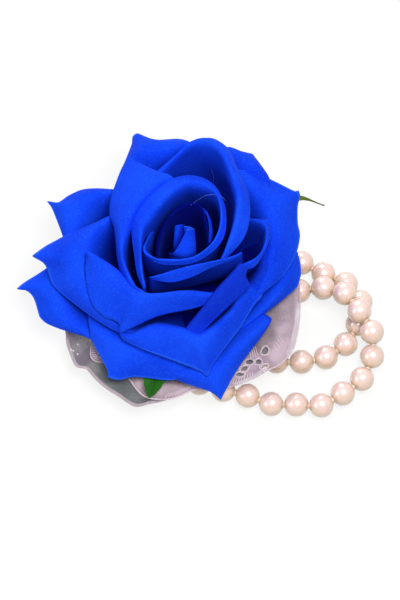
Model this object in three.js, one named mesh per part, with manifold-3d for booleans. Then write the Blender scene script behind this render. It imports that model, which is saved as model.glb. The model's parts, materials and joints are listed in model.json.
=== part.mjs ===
// A wrist corsage: a fabric rose on a gathered lace and organza ruffle, with two
// elastic strands of imitation pearls that run through a ribbon sleeve on a felt pad.
// Millimetres, +Z up. The origin is the middle of the felt pad's underside.
import * as THREE from "three";
import { mergeVertices } from "three/addons/utils/BufferGeometryUtils.js";
import Module from "manifold-3d";

const wasm = await Module();
wasm.setup();

// Fits
const seatGap = 0.3; // between pieces that are glued or stacked on each other
const pegClearance = 0.3; // between the stem peg and what is threaded on it

// Felt pad and ribbon sleeve
const padLength = 20; // along X
const padWidth = 15; // along Y
const padThickness = 2;
const padCorner = 4;
const sleeveLength = 16; // along Y
const sleeveWidth = 9;
const sleeveHeight = 6.2;
const sleeveCrown = 2.2; // radius of the sleeve's upper edges
const sleeveBore = 1.6; // radius of the tunnel for the elastic
const sleeveFloor = 0.5; // ribbon under the tunnel

// Pearl strands
const pearlDiameter = 8;
const pearlGap = 0.2; // along the elastic
const pearlBore = 2.6;
const elasticDiameter = 0.8;
const elasticApart = 1.2; // between the two elastics in the sleeve
const bareStep = 2; // along a bare stretch of elastic
const elasticEndGap = 0.6; // between the two ends of one elastic, inside the sleeve

// Stem peg
const pegRadius = 2;
const pegTopRadius = 1.2;
const pegHeight = 24;

// Fabric
const petalThickness = 0.7;
const leafThickness = 0.6;
const ruffleThickness = 0.5;
const hubRadius = 5.2; // the flat middle of each die-cut layer
const hubThickness = 0.7;
const budHubRadius = 4.4;

// Heights, each stacked on the one below
const padTop = padThickness;
const sleeveBottom = padTop + seatGap;
const sleeveTop = sleeveBottom + sleeveHeight;
const sleeveAxisZ = sleeveBottom + sleeveFloor + sleeveBore;
const pegBottom = sleeveTop + seatGap;
const hubStep = hubThickness + seatGap;
const organzaZ = pegBottom + hubThickness / 2;
const laceZ = organzaZ + hubStep;
const leafZ = laceZ + hubStep;
const calyxZ = leafZ + hubStep;
const outerZ = calyxZ + hubStep;
const middleZ = outerZ + hubStep;
const innerZ = middleZ + hubStep;
const wrapOuterZ = innerZ + hubStep;
const wrapInnerZ = wrapOuterZ + hubStep;
const coreZ = wrapInnerZ + hubStep;

// Gathered ruffles: rim radius, its reach to the front, rim height and its slope up to ruffleHigh
const ruffleHigh = 25;
const organza = {
  rim: 38.5, reach: 7, reachAzimuth: -118, height: 10, tilt: 2.6, rise: 1.3,
  waves: 9, waveHeight: 0.5, waveOut: 1.2,
};
const lace = {
  rim: 37, reach: 6.5, reachAzimuth: -75, height: 11.2, tilt: 2.6, rise: 1.3,
  waves: 9, waveHeight: 0.5, waveOut: 1.4,
};

// Petal layers. A petal leaves the hub, bellies out, turns over along its ridge and ends at its margin.
// A knot of a ridge or margin is azimuth, radius and height over the layer's hub. belly is its share
// of the way out and up to the ridge. tip is the margin's knot that comes to a point, if one does.
const outerLayer = {
  hub: outerZ, belly: [0.6, 0.3], columns: 8,
  petals: {
    left: {
      tip: 2,
      ridge: [[172.5, 36.5, 7], [184.5, 40, 8], [196, 43, 7], [207.5, 41.5, 5], [217.5, 37.5, 3]],
      margin: [[171.5, 38.5, 6], [185, 52.5, 2.5], [187, 55, 2.5], [190.5, 50, 1.5], [198.5, 49.5, 0.5],
        [217.5, 38, 0]],
    },
    frontLeft: {
      tip: 2,
      ridge: [[213.5, 35, 6], [226.5, 35, 7], [255.5, 32, 7], [272, 34, 5]],
      margin: [[214, 36.5, 5], [219, 38.5, 3], [236, 44, -1], [264.5, 38, 0.5], [272.5, 35, 2.5]],
    },
    front: {
      tip: 1,
      ridge: [[264, 35.5, 3], [275, 37, 5], [286.5, 37.5, 6], [325.5, 32.5, 5]],
      margin: [[265, 37.5, 0.5], [285, 46, -1], [299.5, 37, 0], [328.5, 33.5, 2]],
    },
    right: {
      tip: 2,
      ridge: [[313.5, 28, 6], [343, 31.5, 7.5], [11.5, 33, 7]],
      margin: [[311.5, 29, 4.5], [350.5, 37, 2], [357.5, 38, 2], [9, 37.5, 3.5], [13.5, 36, 5]],
    },
    backRight: {
      tip: 1,
      ridge: [[42.5, 35.5, 17], [52.5, 36, 20], [67.5, 36.5, 21]],
      margin: [[44.5, 39, 14], [59, 43.5, 13], [69.5, 38.5, 19]],
    },
    back: {
      tip: 2,
      ridge: [[134.5, 30, 17], [119.5, 34, 20], [107.5, 35.5, 22], [88.5, 35, 20]],
      margin: [[134, 32.5, 15], [111, 47, 13], [109, 47.5, 13], [102.5, 42.5, 15.5], [92.5, 41, 17],
        [86.5, 39, 18]],
    },
  },
};
const middleLayer = {
  hub: middleZ, belly: [0.66, 0.26], columns: 8,
  petals: {
    backLeft: {
      tip: 2,
      ridge: [[169, 37, 11], [162, 38, 13], [154, 37.5, 15], [146.5, 34.5, 17], [135, 27.5, 19]],
      margin: [[169.5, 39.5, 8], [155.5, 47.5, 8], [154, 50, 8], [153, 46.5, 8.5], [143, 41, 11],
        [131.5, 29.5, 16]],
    },
    left: {
      tip: 2,
      ridge: [[157.5, 25.5, 19], [170.5, 30.5, 19], [184.5, 33, 18], [199.5, 34, 16], [216, 33, 14],
        [233, 31, 11]],
      margin: [[154.5, 27, 18], [171.5, 44, 8.5], [177.5, 49.5, 8], [180.5, 45.5, 8], [191.5, 43, 8],
        [223.5, 33.5, 8], [234, 32, 8]],
    },
    right: {
      tip: 2,
      ridge: [[55.5, 30.5, 20], [38, 30.5, 19], [21.5, 30, 18], [4.5, 29, 16], [332.5, 27, 12]],
      margin: [[58.5, 32, 20], [46, 38.5, 14], [33.5, 45, 10], [5, 36.5, 8], [336.5, 28.5, 10]],
    },
    frontRight: {
      tip: 2,
      ridge: [[311, 23, 14], [347.5, 25, 15], [7.5, 25, 15]],
      margin: [[309, 24.5, 12], [335, 28, 10.5], [348, 30.5, 10], [9.5, 26.5, 14]],
    },
    front: {
      tip: 1,
      ridge: [[236, 32.5, 11], [250, 27.5, 14], [269, 28, 16], [280.5, 31.5, 16], [317.5, 26.5, 15],
        [333, 27.5, 13]],
      margin: [[236.5, 34, 9], [281, 40, 5], [324.5, 27, 10.5], [333, 28.5, 12]],
    },
  },
};
const innerLayer = {
  hub: innerZ, belly: [0.8, 0.3], columns: 8,
  petals: {
    frontLeft: {
      tip: 3,
      ridge: [[185, 30.5, 20], [199.5, 25, 22], [234.5, 22.5, 23.5], [274, 17, 22], [299, 19, 19]],
      margin: [[185, 31, 19], [210.5, 34.5, 15], [229, 32, 13], [233.5, 34, 12.5], [246.5, 25, 14],
        [294, 20.5, 17.5], [299, 19.5, 18.5]],
    },
    frontRight: {
      tip: 1,
      ridge: [[270.5, 27, 13], [298, 20, 20.5], [334, 19.5, 23.5]],
      margin: [[275.5, 30, 12], [326.5, 26, 21], [334.5, 22.5, 23]],
    },
    right: {
      tip: 3,
      ridge: [[337, 19.5, 20], [351.5, 25, 22], [13.5, 26.5, 23], [15, 22, 23]],
      margin: [[336, 20.5, 19], [344, 24, 19], [3, 27.5, 20], [12.5, 28.5, 21], [17, 28.5, 21.5],
        [17.5, 22.5, 22.5]],
    },
    backRight: {
      tip: 1,
      ridge: [[106.5, 24, 24], [85.5, 31.5, 28.5], [76, 32.5, 29.5], [66.5, 30, 30.5], [39, 21.5, 31],
        [340, 14.5, 28], [327, 14.5, 26]],
      margin: [[108.5, 26.5, 22.5], [85, 34.5, 26], [75.5, 37, 25.5], [64.5, 34.5, 26], [34, 25, 27.5],
        [358, 19, 26.5], [327, 15, 25]],
    },
    left: {
      tip: 1,
      ridge: [[101, 20, 28], [121, 19.5, 28.5], [160, 18, 28], [197, 20.5, 26], [225.5, 22.5, 24],
        [236, 22, 23]],
      margin: [[101, 22, 26.5], [120.5, 36, 21], [153, 27, 19.5], [207, 22.5, 20.5], [224, 23, 21],
        [236, 22, 22]],
    },
  },
};
const wrapOuterLayer = {
  hub: wrapOuterZ, belly: [0.92, 0.35], columns: 10,
  petals: {
    front: {
      ridge: [[217, 18, 20.5], [228, 17.5, 23], [301, 11, 25.5], [338, 17, 23.5], [347, 19, 22]],
      margin: [[220, 19.5, 19.5], [245, 16, 22.5], [283, 14, 22.5], [339, 18.5, 22], [346, 20.5, 21]],
    },
    ringFront: {
      ridge: [[172, 12.5, 22], [204, 13.5, 25], [226, 11.5, 25.5], [292, 8.5, 26.5], [2, 11, 27.5],
        [34, 13, 27.5]],
      margin: [[174, 14, 20.5], [202, 15, 23], [225, 13, 23], [255, 10.5, 23], [334, 11, 24], [30, 14.5, 25]],
    },
    ringBack: {
      ridge: [[6, 12.5, 26], [51, 17, 29], [83, 17.5, 29.5], [144, 14, 28.5], [170, 13.5, 28],
        [219, 17, 25], [230, 19.5, 22]],
      margin: [[8, 15, 24.5], [50, 19, 27], [83, 21, 27], [144, 18.5, 25.5], [165, 17.5, 25],
        [215, 18.5, 22.5], [229, 21, 20.5]],
    },
  },
};
const wrapInnerLayer = {
  hub: wrapInnerZ, belly: [0.92, 0.35], columns: 10,
  petals: {
    roll: {
      ridge: [[184, 10.5, 13], [158, 10.5, 16], [133, 11, 19], [84, 12, 21.5], [66, 12, 21.5],
        [13, 8.5, 19], [352, 9, 16]],
      margin: [[183, 11.5, 14], [157, 11.5, 18], [132, 12, 21], [84, 13, 23.5], [67, 12.5, 23.5],
        [13, 9.5, 21], [353, 9.5, 17]],
    },
  },
};
const coreRadius = 6.2;
const coreHeight = 20;
const coreFurl = 1.6; // depth of the groove between the rolled edges at the top

// Green pieces: azimuth, reach, tip height, half width and the lean of the tip, counterclockwise
const leafFront = [255, 44.5, 11.3, 6, 0];
const leafBack = [40, 50, 18, 5, -12];
const sepals = [2, 74, 146, 218, 290];
const sepalReach = 19;
const sepalHalfWidth = 4;
const sepalTipRise = 0.8; // of the sepal's tip over the calyx hub

// Routes of the two elastics outside the sleeve, from its near end round to its far end,
// with the least bare length at each end
const strandA = {
  route: [
    [0, -12.6, 4.4], [0, -20.8, 4], [0.3, -28.5, 4], [4.6, -34.8, 4], [12.6, -37.4, 4],
    [20.9, -39.6, 4], [28.2, -42.4, 4], [36.2, -42.6, 4], [44.4, -43.0, 4], [51.6, -38.8, 4],
    [58, -33.8, 4.2], [61.5, -26.4, 6.6], [61.2, -19.6, 11.2], [57, -12.6, 12.4],
    [52.4, -6.2, 11.6], [45.6, -3.2, 8.8], [38, -3.2, 6.4], [30.5, -1, 5.2], [24, 3.4, 4.6],
    [18.2, 8.6, 4.4], [11.4, 13, 4.4], [4.6, 10.4, 4.6],
  ],
  lift: 1, bareStart: 8.4, bareEnd: 10,
};
const strandB = {
  route: [
    [4.6, -10.4, 4], [10.2, -17.6, 4], [16.6, -22.4, 4], [24, -26, 4], [31.7, -27.6, 4], [39.6, -27.4, 4],
    [47.2, -25.6, 4], [53.2, -21, 4], [57, -14, 4], [58.3, -6.6, 4], [54, 0, 4],
    [46.8, 3.6, 4], [40.2, 7.4, 4], [33, 11.2, 4], [25.8, 15, 4], [18.4, 18.4, 4],
    [10.4, 20.2, 4], [3.2, 17.8, 4.2], [0, 12.6, 4.4],
  ],
  lift: -1, bareStart: 8.4, bareEnd: 2,
};

// Colours
const fabricBlue = new THREE.MeshStandardMaterial({ color: "#0c3df0", roughness: 0.85, metalness: 0 });
const pearlPeach = new THREE.MeshStandardMaterial({ color: "#ecc9b6", roughness: 0.22, metalness: 0 });
const lacePink = new THREE.MeshStandardMaterial({ color: "#dcc4cc", roughness: 0.8, metalness: 0 });
const organzaGrey = new THREE.MeshStandardMaterial({ color: "#b9b9c0", roughness: 0.5, metalness: 0 });
const leafGreen = new THREE.MeshStandardMaterial({ color: "#1f6a0c", roughness: 0.7, metalness: 0 });
const elasticClear = new THREE.MeshStandardMaterial({ color: "#e6ddd2", roughness: 0.4, metalness: 0 });
const feltWhite = new THREE.MeshStandardMaterial({ color: "#e9e6e2", roughness: 0.95, metalness: 0 });
const pegGreen = new THREE.MeshStandardMaterial({ color: "#2c5a1c", roughness: 0.5, metalness: 0 });

const corsage = new THREE.Group();
const radians = THREE.MathUtils.degToRad;

function addPiece(name, geometry, material) {
  const mesh = new THREE.Mesh(geometry, material);
  mesh.name = name;
  corsage.add(mesh);
  return mesh;
}

// Joins and cuts
function solidOf(geometry) {
  const plain = geometry.clone();
  plain.deleteAttribute("normal");
  plain.deleteAttribute("uv");
  const merged = mergeVertices(plain, 1e-4);
  const triVerts = new Uint32Array(merged.index.array);
  const vertProperties = new Float32Array(merged.attributes.position.array);
  return new wasm.Manifold(new wasm.Mesh({ numProp: 3, vertProperties, triVerts }));
}

function geometryOf(solid) {
  const mesh = solid.getMesh();
  const geometry = new THREE.BufferGeometry();
  geometry.setAttribute("position", new THREE.BufferAttribute(mesh.vertProperties, 3));
  geometry.setIndex(new THREE.BufferAttribute(mesh.triVerts, 1));
  geometry.computeVertexNormals();
  return geometry;
}

function largestBody(solid) {
  const bodies = solid.decompose();
  return bodies.reduce((best, body) => (body.volume() > best.volume() ? body : best));
}

// A closed sheet of even thickness over pointAt(u, v), with u and v from 0 to 1.
// A round sheet joins its last column to its first.
function sheetGeometry(pointAt, columns, rows, thickness, round = false) {
  const step = 1e-3;
  const across = round ? columns : columns + 1;
  const top = [];
  const bottom = [];
  for (let j = 0; j <= rows; j++) {
    for (let i = 0; i < across; i++) {
      const u = i / columns;
      const v = j / rows;
      const uLow = round ? u - step : Math.max(0, u - step);
      const uHigh = round ? u + step : Math.min(1, u + step);
      const alongU = pointAt(uHigh, v).sub(pointAt(uLow, v));
      const alongV = pointAt(u, Math.min(1, v + step)).sub(pointAt(u, Math.max(0, v - step)));
      const offset = alongU.cross(alongV).normalize().multiplyScalar(thickness / 2);
      const point = pointAt(u, v);
      top.push(point.clone().add(offset));
      bottom.push(point.clone().sub(offset));
    }
  }
  const count = top.length;
  const index = [];
  const at = (i, j) => j * across + (i % across);
  const quad = (a, b, c, d) => index.push(a, b, c, a, c, d);
  for (let j = 0; j < rows; j++) {
    for (let i = 0; i < columns; i++) {
      quad(at(i, j), at(i + 1, j), at(i + 1, j + 1), at(i, j + 1));
      quad(count + at(i, j + 1), count + at(i + 1, j + 1), count + at(i + 1, j), count + at(i, j));
    }
  }
  for (let i = 0; i < columns; i++) {
    quad(count + at(i, 0), count + at(i + 1, 0), at(i + 1, 0), at(i, 0));
    quad(at(i, rows), at(i + 1, rows), count + at(i + 1, rows), count + at(i, rows));
  }
  for (let j = 0; j < rows && !round; j++) {
    quad(at(0, j), at(0, j + 1), count + at(0, j + 1), count + at(0, j));
    quad(at(columns, j + 1), at(columns, j), count + at(columns, j), count + at(columns, j + 1));
  }
  const geometry = new THREE.BufferGeometry().setFromPoints([...top, ...bottom]);
  geometry.setIndex(index);
  return geometry;
}

// A flat ring about the stem, centred on height z
function ringGeometry(innerRadius, outerRadius, thickness, z) {
  const low = z - thickness / 2;
  const high = z + thickness / 2;
  const profile = [
    new THREE.Vector2(innerRadius, low),
    new THREE.Vector2(outerRadius, low),
    new THREE.Vector2(outerRadius, high),
    new THREE.Vector2(innerRadius, high),
    new THREE.Vector2(innerRadius, low),
  ];
  return new THREE.LatheGeometry(profile, 20).rotateX(Math.PI / 2);
}

// Half the width of a leaf at v: narrow at its foot, widest at "widest", pointed at the tip
const leafFootShare = 0.2;
const leafTipHalf = 0.5;
function halfWidthAt(v, halfWidth, widest) {
  if (v < widest) {
    const opening = Math.sin((Math.PI / 2) * (v / widest));
    return halfWidth * (leafFootShare + (1 - leafFootShare) * opening);
  }
  const along = (v - widest) / (1 - widest);
  return Math.max(leafTipHalf, halfWidth * (1 - along ** 2.2));
}

// A blade that leaves the stem at footRadius on a profile of four control points,
// cupped across by a curvature that runs from cup[0] at its foot to cup[1] at its tip
function bladePoint(blade, u, v) {
  const [foot, wall, ridge, tip] = blade.profile;
  const profile = new THREE.CubicBezierCurve(foot, wall, ridge, tip);
  const centre = profile.getPoint(v);
  const along = profile.getTangent(v);
  const side = 2 * u - 1;
  const reach = side * halfWidthAt(v, blade.halfWidth, blade.widest);
  const bend = THREE.MathUtils.lerp(blade.cup[0], blade.cup[1], v);
  const sideways = Math.sin(bend * reach) / bend - blade.lean * v * v;
  const inwards = (1 - Math.cos(bend * reach)) / bend;
  const radius = centre.x - along.y * inwards;
  const height = centre.y + along.x * inwards;
  const azimuth = radians(blade.azimuth);
  return new THREE.Vector3(
    radius * Math.cos(azimuth) + sideways * Math.sin(azimuth),
    radius * Math.sin(azimuth) - sideways * Math.cos(azimuth),
    height,
  );
}

// A smooth line through knots, longer by "extra" at both ends
function knotLine(knots, hub, extra) {
  const points = knots.map(([azimuth, radius, height]) => {
    const turn = radians(azimuth);
    return new THREE.Vector3(radius * Math.cos(turn), radius * Math.sin(turn), hub + height);
  });
  const last = points.length - 1;
  const before = points[0].clone().sub(points[1]).setLength(extra);
  const after = points[last].clone().sub(points[last - 1]).setLength(extra);
  points[0].add(before);
  points[last].add(after);
  return new THREE.CatmullRomCurve3(points, false, "centripetal");
}

// A petal's margin, with a column of its sheet set on its tip
function marginLine(petal, layer, extra) {
  if (!petal.tip) {
    const line = knotLine(petal.margin, layer.hub, extra);
    return (u) => line.getPointAt(u);
  }
  const left = knotLine(petal.margin.slice(0, petal.tip + 1), layer.hub, extra);
  const right = knotLine(petal.margin.slice(petal.tip), layer.hub, extra);
  const share = left.getLength() / (left.getLength() + right.getLength());
  const tipColumn = Math.round(share * layer.columns);
  const tipAt = THREE.MathUtils.clamp(tipColumn, 1, layer.columns - 1) / layer.columns;
  return (u) => (u <= tipAt ? left.getPointAt(u / tipAt) : right.getPointAt((u - tipAt) / (1 - tipAt)));
}

// A petal's surface: foot, belly, ridge and margin
function petalSurface(petal, layer, footRadius, extra) {
  const ridge = knotLine(petal.ridge, layer.hub, extra);
  const margin = marginLine(petal, layer, extra);
  const [out, up] = layer.belly;
  return (u, v) => {
    const fold = ridge.getPointAt(u);
    const edge = margin(u);
    edge.add(edge.clone().sub(fold).setLength(extra));
    const turn = Math.atan2(fold.y, fold.x);
    const foot = new THREE.Vector3(footRadius * Math.cos(turn), footRadius * Math.sin(turn), layer.hub);
    const belly = foot.clone().lerp(fold, out);
    belly.z = THREE.MathUtils.lerp(foot.z, fold.z, up);
    return new THREE.CatmullRomCurve3([foot, belly, fold, edge], false, "centripetal").getPoint(v);
  };
}

// One die-cut layer: a hub ring on the peg and its petals. "extra" widens every wall.
const petalRows = 6;
function petalLayer(layer, layerHubRadius, extra) {
  const thickness = petalThickness + 2 * extra;
  const boreRadius = pegRadius + pegClearance - extra;
  const hub = ringGeometry(boreRadius, layerHubRadius + extra, hubThickness + 2 * extra, layer.hub);
  const footRadius = layerHubRadius - petalThickness;
  return Object.values(layer.petals).reduce((joined, petal) => {
    const surface = petalSurface(petal, layer, footRadius, extra);
    return joined.add(solidOf(sheetGeometry(surface, layer.columns, petalRows, thickness)));
  }, solidOf(hub));
}

// The rolled heart of the bud, a tapered lathe form with furled edges cut into its top
function budCore() {
  const top = coreZ + coreHeight;
  const bottom = coreZ - hubThickness / 2;
  const boreRadius = pegRadius + pegClearance;
  const boreTop = pegBottom + pegHeight + pegClearance;
  const profile = new THREE.Path();
  profile.moveTo(0, boreTop);
  profile.lineTo(boreRadius, boreTop);
  profile.lineTo(boreRadius, bottom);
  profile.lineTo(budHubRadius, bottom);
  profile.quadraticCurveTo(coreRadius * 1.2, coreZ + coreHeight / 2, coreRadius * 0.8, top);
  profile.lineTo(coreRadius * 0.8 - petalThickness, top);
  profile.lineTo(coreRadius * 0.4, top - coreFurl);
  profile.lineTo(0, top - coreFurl / 2);
  return new THREE.LatheGeometry(profile.getPoints(4), 20).rotateX(Math.PI / 2);
}

// Rose: each layer is cut clear of the ones inside it
const roseLayers = [
  ["bud_wrap_inner", wrapInnerLayer, budHubRadius],
  ["bud_wrap_outer", wrapOuterLayer, hubRadius],
  ["inner_petal_layer", innerLayer, hubRadius],
  ["middle_petal_layer", middleLayer, hubRadius],
  ["outer_petal_layer", outerLayer, hubRadius],
];
const coreGeometry = budCore();
addPiece("bud_core", coreGeometry, fabricBlue);
let cleared = solidOf(coreGeometry);
for (const [name, layer, layerHubRadius] of roseLayers) {
  const whole = petalLayer(layer, layerHubRadius, 0);
  addPiece(name, geometryOf(largestBody(whole.subtract(cleared))), fabricBlue);
  cleared = cleared.add(petalLayer(layer, layerHubRadius, seatGap));
}

// Stem peg
const pegProfile = [
  new THREE.Vector2(0, pegBottom),
  new THREE.Vector2(pegRadius, pegBottom),
  new THREE.Vector2(pegRadius, coreZ),
  new THREE.Vector2(pegTopRadius, pegBottom + pegHeight),
  new THREE.Vector2(0, pegBottom + pegHeight),
];
addPiece("stem_peg", new THREE.LatheGeometry(pegProfile, 12).rotateX(Math.PI / 2), pegGreen);

// Green pieces, glued under the rose
function leafBlade(row, footZ, footRadius) {
  const [azimuth, reach, tipHeight, halfWidth, lean] = row;
  const profile = [
    new THREE.Vector2(footRadius, footZ),
    new THREE.Vector2(footRadius + reach / 3, footZ),
    new THREE.Vector2(reach - reach / 3, tipHeight),
    new THREE.Vector2(reach, tipHeight),
  ];
  return { azimuth, profile, halfWidth, lean, cup: [0.01, 0.002], widest: 0.55 };
}
const leafFoot = pegRadius + pegClearance;
for (const [name, row] of [["leaf_front", leafFront], ["leaf_back", leafBack]]) {
  const blade = leafBlade(row, leafZ, leafFoot);
  addPiece(name, sheetGeometry((u, v) => bladePoint(blade, u, v), 2, 6, leafThickness), leafGreen);
}
const calyxRing = ringGeometry(pegRadius + pegClearance, hubRadius, hubThickness, calyxZ);
const calyx = sepals.reduce((joined, azimuth) => {
  const row = [azimuth, sepalReach, calyxZ + sepalTipRise, sepalHalfWidth, 0];
  const blade = leafBlade(row, calyxZ, hubRadius - petalThickness);
  return joined.add(solidOf(sheetGeometry((u, v) => bladePoint(blade, u, v), 2, 4, leafThickness)));
}, solidOf(calyxRing));
addPiece("calyx", geometryOf(largestBody(calyx.subtract(cleared))), leafGreen);

// Ruffles: a gathered disc whose rim waves, reaches out to the front and rises to the right
function rufflePoint(ruffle, hubZ, u, v) {
  const azimuth = 2 * Math.PI * u;
  const wave = Math.sin(ruffle.waves * azimuth);
  const forward = Math.max(0, Math.cos(azimuth - radians(ruffle.reachAzimuth)));
  const rim = ruffle.rim + ruffle.reach * forward + ruffle.waveOut * wave;
  const foot = pegRadius + pegClearance;
  const radius = foot + (rim - foot) * v;
  const slope = ruffle.tilt * Math.cos(azimuth - radians(ruffleHigh));
  const rimHeight = ruffle.height + slope + ruffle.waveHeight * wave;
  const height = hubZ + (rimHeight - hubZ) * v ** ruffle.rise;
  return new THREE.Vector3(radius * Math.cos(azimuth), radius * Math.sin(azimuth), height);
}
const ruffleColumns = 45;
const ruffleRows = 3;
for (const [name, ruffle, hubZ, material] of [
  ["organza_ruffle", organza, organzaZ, organzaGrey],
  ["lace_ruffle", lace, laceZ, lacePink],
]) {
  const pointAt = (u, v) => rufflePoint(ruffle, hubZ, -u, v);
  addPiece(name, sheetGeometry(pointAt, ruffleColumns, ruffleRows, ruffleThickness, true), material);
}

// Felt pad with round corners
const padOutline = new THREE.Shape();
const padX = padLength / 2 - padCorner;
const padY = padWidth / 2 - padCorner;
padOutline.absarc(padX, padY, padCorner, 0, Math.PI / 2);
padOutline.absarc(-padX, padY, padCorner, Math.PI / 2, Math.PI);
padOutline.absarc(-padX, -padY, padCorner, Math.PI, 1.5 * Math.PI);
padOutline.absarc(padX, -padY, padCorner, 1.5 * Math.PI, 2 * Math.PI);
const padShape = { depth: padThickness, bevelEnabled: false, curveSegments: 5 };
addPiece("felt_pad", new THREE.ExtrudeGeometry(padOutline, padShape), feltWhite);

// Ribbon sleeve: a flat-bottomed tunnel along Y
const sleeveOutline = new THREE.Shape();
const sleeveHalf = sleeveWidth / 2;
const sleeveFoot = sleeveBottom - sleeveAxisZ;
const crownY = sleeveFoot + sleeveHeight - sleeveCrown;
sleeveOutline.moveTo(-sleeveHalf, sleeveFoot);
sleeveOutline.lineTo(sleeveHalf, sleeveFoot);
sleeveOutline.absarc(sleeveHalf - sleeveCrown, crownY, sleeveCrown, 0, Math.PI / 2);
sleeveOutline.absarc(-sleeveHalf + sleeveCrown, crownY, sleeveCrown, Math.PI / 2, Math.PI);
const tunnel = new THREE.Path();
tunnel.absarc(0, 0, sleeveBore, 0, 2 * Math.PI, true);
sleeveOutline.holes.push(tunnel);
const sleeveShape = { depth: sleeveLength, bevelEnabled: false, curveSegments: 6 };
const sleeveGeometry = new THREE.ExtrudeGeometry(sleeveOutline, sleeveShape);
sleeveGeometry.translate(0, 0, -sleeveLength / 2).rotateX(Math.PI / 2);
const sleeve = addPiece("ribbon_sleeve", sleeveGeometry, feltWhite);
sleeve.position.z = sleeveAxisZ;

// A drilled pearl with its hole along Y
const pearlRadius = pearlDiameter / 2;
const boreRadius = pearlBore / 2;
const pearlRows = 6;
function pearlGeometry() {
  const shoulder = Math.acos(boreRadius / pearlRadius);
  const profile = [];
  for (let row = 0; row <= pearlRows; row++) {
    const angle = shoulder * ((2 * row) / pearlRows - 1);
    profile.push(new THREE.Vector2(pearlRadius * Math.cos(angle), pearlRadius * Math.sin(angle)));
  }
  profile.push(profile[0].clone());
  return new THREE.LatheGeometry(profile, 8);
}

// Pearls sit at even steps along the route, and the elastic runs straight through each one
function addStrand(letter, strand) {
  const inSleeve = sleeveAxisZ + (strand.lift * elasticApart) / 2;
  const sleeveEnd = sleeveLength / 2;
  const nearEnd = new THREE.Vector3(0, -sleeveEnd, inSleeve);
  const farEnd = new THREE.Vector3(0, sleeveEnd, inSleeve);
  const routePoints = strand.route.map((point) => new THREE.Vector3(...point));
  const outside = [nearEnd, ...routePoints, farEnd];
  const route = new THREE.CatmullRomCurve3(outside, false, "centripetal");
  route.arcLengthDivisions = 800;
  const length = route.getLength();
  const pitch = pearlDiameter + pearlGap;
  const first = strand.bareStart + pearlRadius;
  const count = Math.floor((length - first - pearlRadius - strand.bareEnd) / pitch) + 1;
  const last = first + (count - 1) * pitch;
  const path = [new THREE.Vector3(0, -elasticEndGap / 2, inSleeve)];
  const addBare = (from, to) => {
    const steps = Math.ceil((to - from) / bareStep);
    for (let k = 0; k < steps; k++) {
      path.push(route.getPointAt((from + ((to - from) * k) / steps) / length));
    }
  };
  addBare(0, first - pearlRadius);
  for (let k = 0; k < count; k++) {
    const share = (first + k * pitch) / length;
    const along = route.getTangentAt(share);
    const name = "pearl_" + letter + "_" + String(k + 1).padStart(2, "0");
    const pearl = addPiece(name, pearlGeometry(), pearlPeach);
    pearl.position.copy(route.getPointAt(share));
    pearl.quaternion.setFromUnitVectors(new THREE.Vector3(0, 1, 0), along);
    path.push(pearl.position.clone().addScaledVector(along, -pearlRadius));
    path.push(pearl.position.clone().addScaledVector(along, pearlRadius));
  }
  addBare(last + pearlRadius + bareStep, length);
  path.push(farEnd, new THREE.Vector3(0, elasticEndGap / 2, inSleeve));
  const section = new THREE.Shape().absarc(0, 0, elasticDiameter / 2, 0, 2 * Math.PI);
  const extrudePath = new THREE.CatmullRomCurve3(path, false, "centripetal");
  const shape = { steps: 72, extrudePath, curveSegments: 4, bevelEnabled: false };
  addPiece("elastic_" + letter, new THREE.ExtrudeGeometry(section, shape), elasticClear);
}
addStrand("a", strandA);
addStrand("b", strandB);

export default corsage;
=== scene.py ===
import json
import math
import bmesh
import bpy
import numpy as np
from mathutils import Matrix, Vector, noise


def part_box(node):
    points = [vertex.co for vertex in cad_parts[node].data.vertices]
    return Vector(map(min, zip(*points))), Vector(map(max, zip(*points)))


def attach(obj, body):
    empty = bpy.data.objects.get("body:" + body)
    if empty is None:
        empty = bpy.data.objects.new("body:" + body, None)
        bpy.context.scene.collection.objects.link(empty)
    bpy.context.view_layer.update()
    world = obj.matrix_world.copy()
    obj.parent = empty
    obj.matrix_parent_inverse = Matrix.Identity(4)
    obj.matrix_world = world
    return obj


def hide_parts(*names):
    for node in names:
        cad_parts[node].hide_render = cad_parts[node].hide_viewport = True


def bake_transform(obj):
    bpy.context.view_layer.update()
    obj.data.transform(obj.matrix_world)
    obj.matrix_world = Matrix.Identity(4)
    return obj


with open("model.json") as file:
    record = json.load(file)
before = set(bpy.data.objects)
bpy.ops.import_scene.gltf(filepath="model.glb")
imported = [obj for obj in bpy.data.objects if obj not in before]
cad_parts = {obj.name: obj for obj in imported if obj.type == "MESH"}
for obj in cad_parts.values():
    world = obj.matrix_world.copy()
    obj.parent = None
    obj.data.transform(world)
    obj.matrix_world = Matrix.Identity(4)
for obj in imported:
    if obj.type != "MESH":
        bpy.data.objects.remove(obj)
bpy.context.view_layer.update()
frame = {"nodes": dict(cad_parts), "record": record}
scene = bpy.context.scene
scene.view_settings.view_transform = "Standard"
mm = 0.001

# nodes and objects


def fill(tree, node, inputs):
    # an input takes a plain value or another node's output
    for name, value in inputs.items():
        if isinstance(value, bpy.types.NodeSocket):
            tree.links.new(value, node.inputs[name])
        else:
            node.inputs[name].default_value = value


def addNode(tree, kind, inputs=None, **settings):
    node = tree.nodes.new(kind)
    for name, value in settings.items():
        setattr(node, name, value)
    fill(tree, node, inputs or {})
    return node


def calculated(tree, operation, *values):
    return addNode(tree, "ShaderNodeMath", dict(enumerate(values)), operation=operation).outputs[0]


def linked(name, data):
    obj = bpy.data.objects.new(name, data)
    scene.collection.objects.link(obj)
    return obj


def settle(piece, node=None):
    # a still piece of the corsage, in place of a CAD node if one is named
    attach(piece, "corsage")
    if node:
        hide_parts(node)


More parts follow.
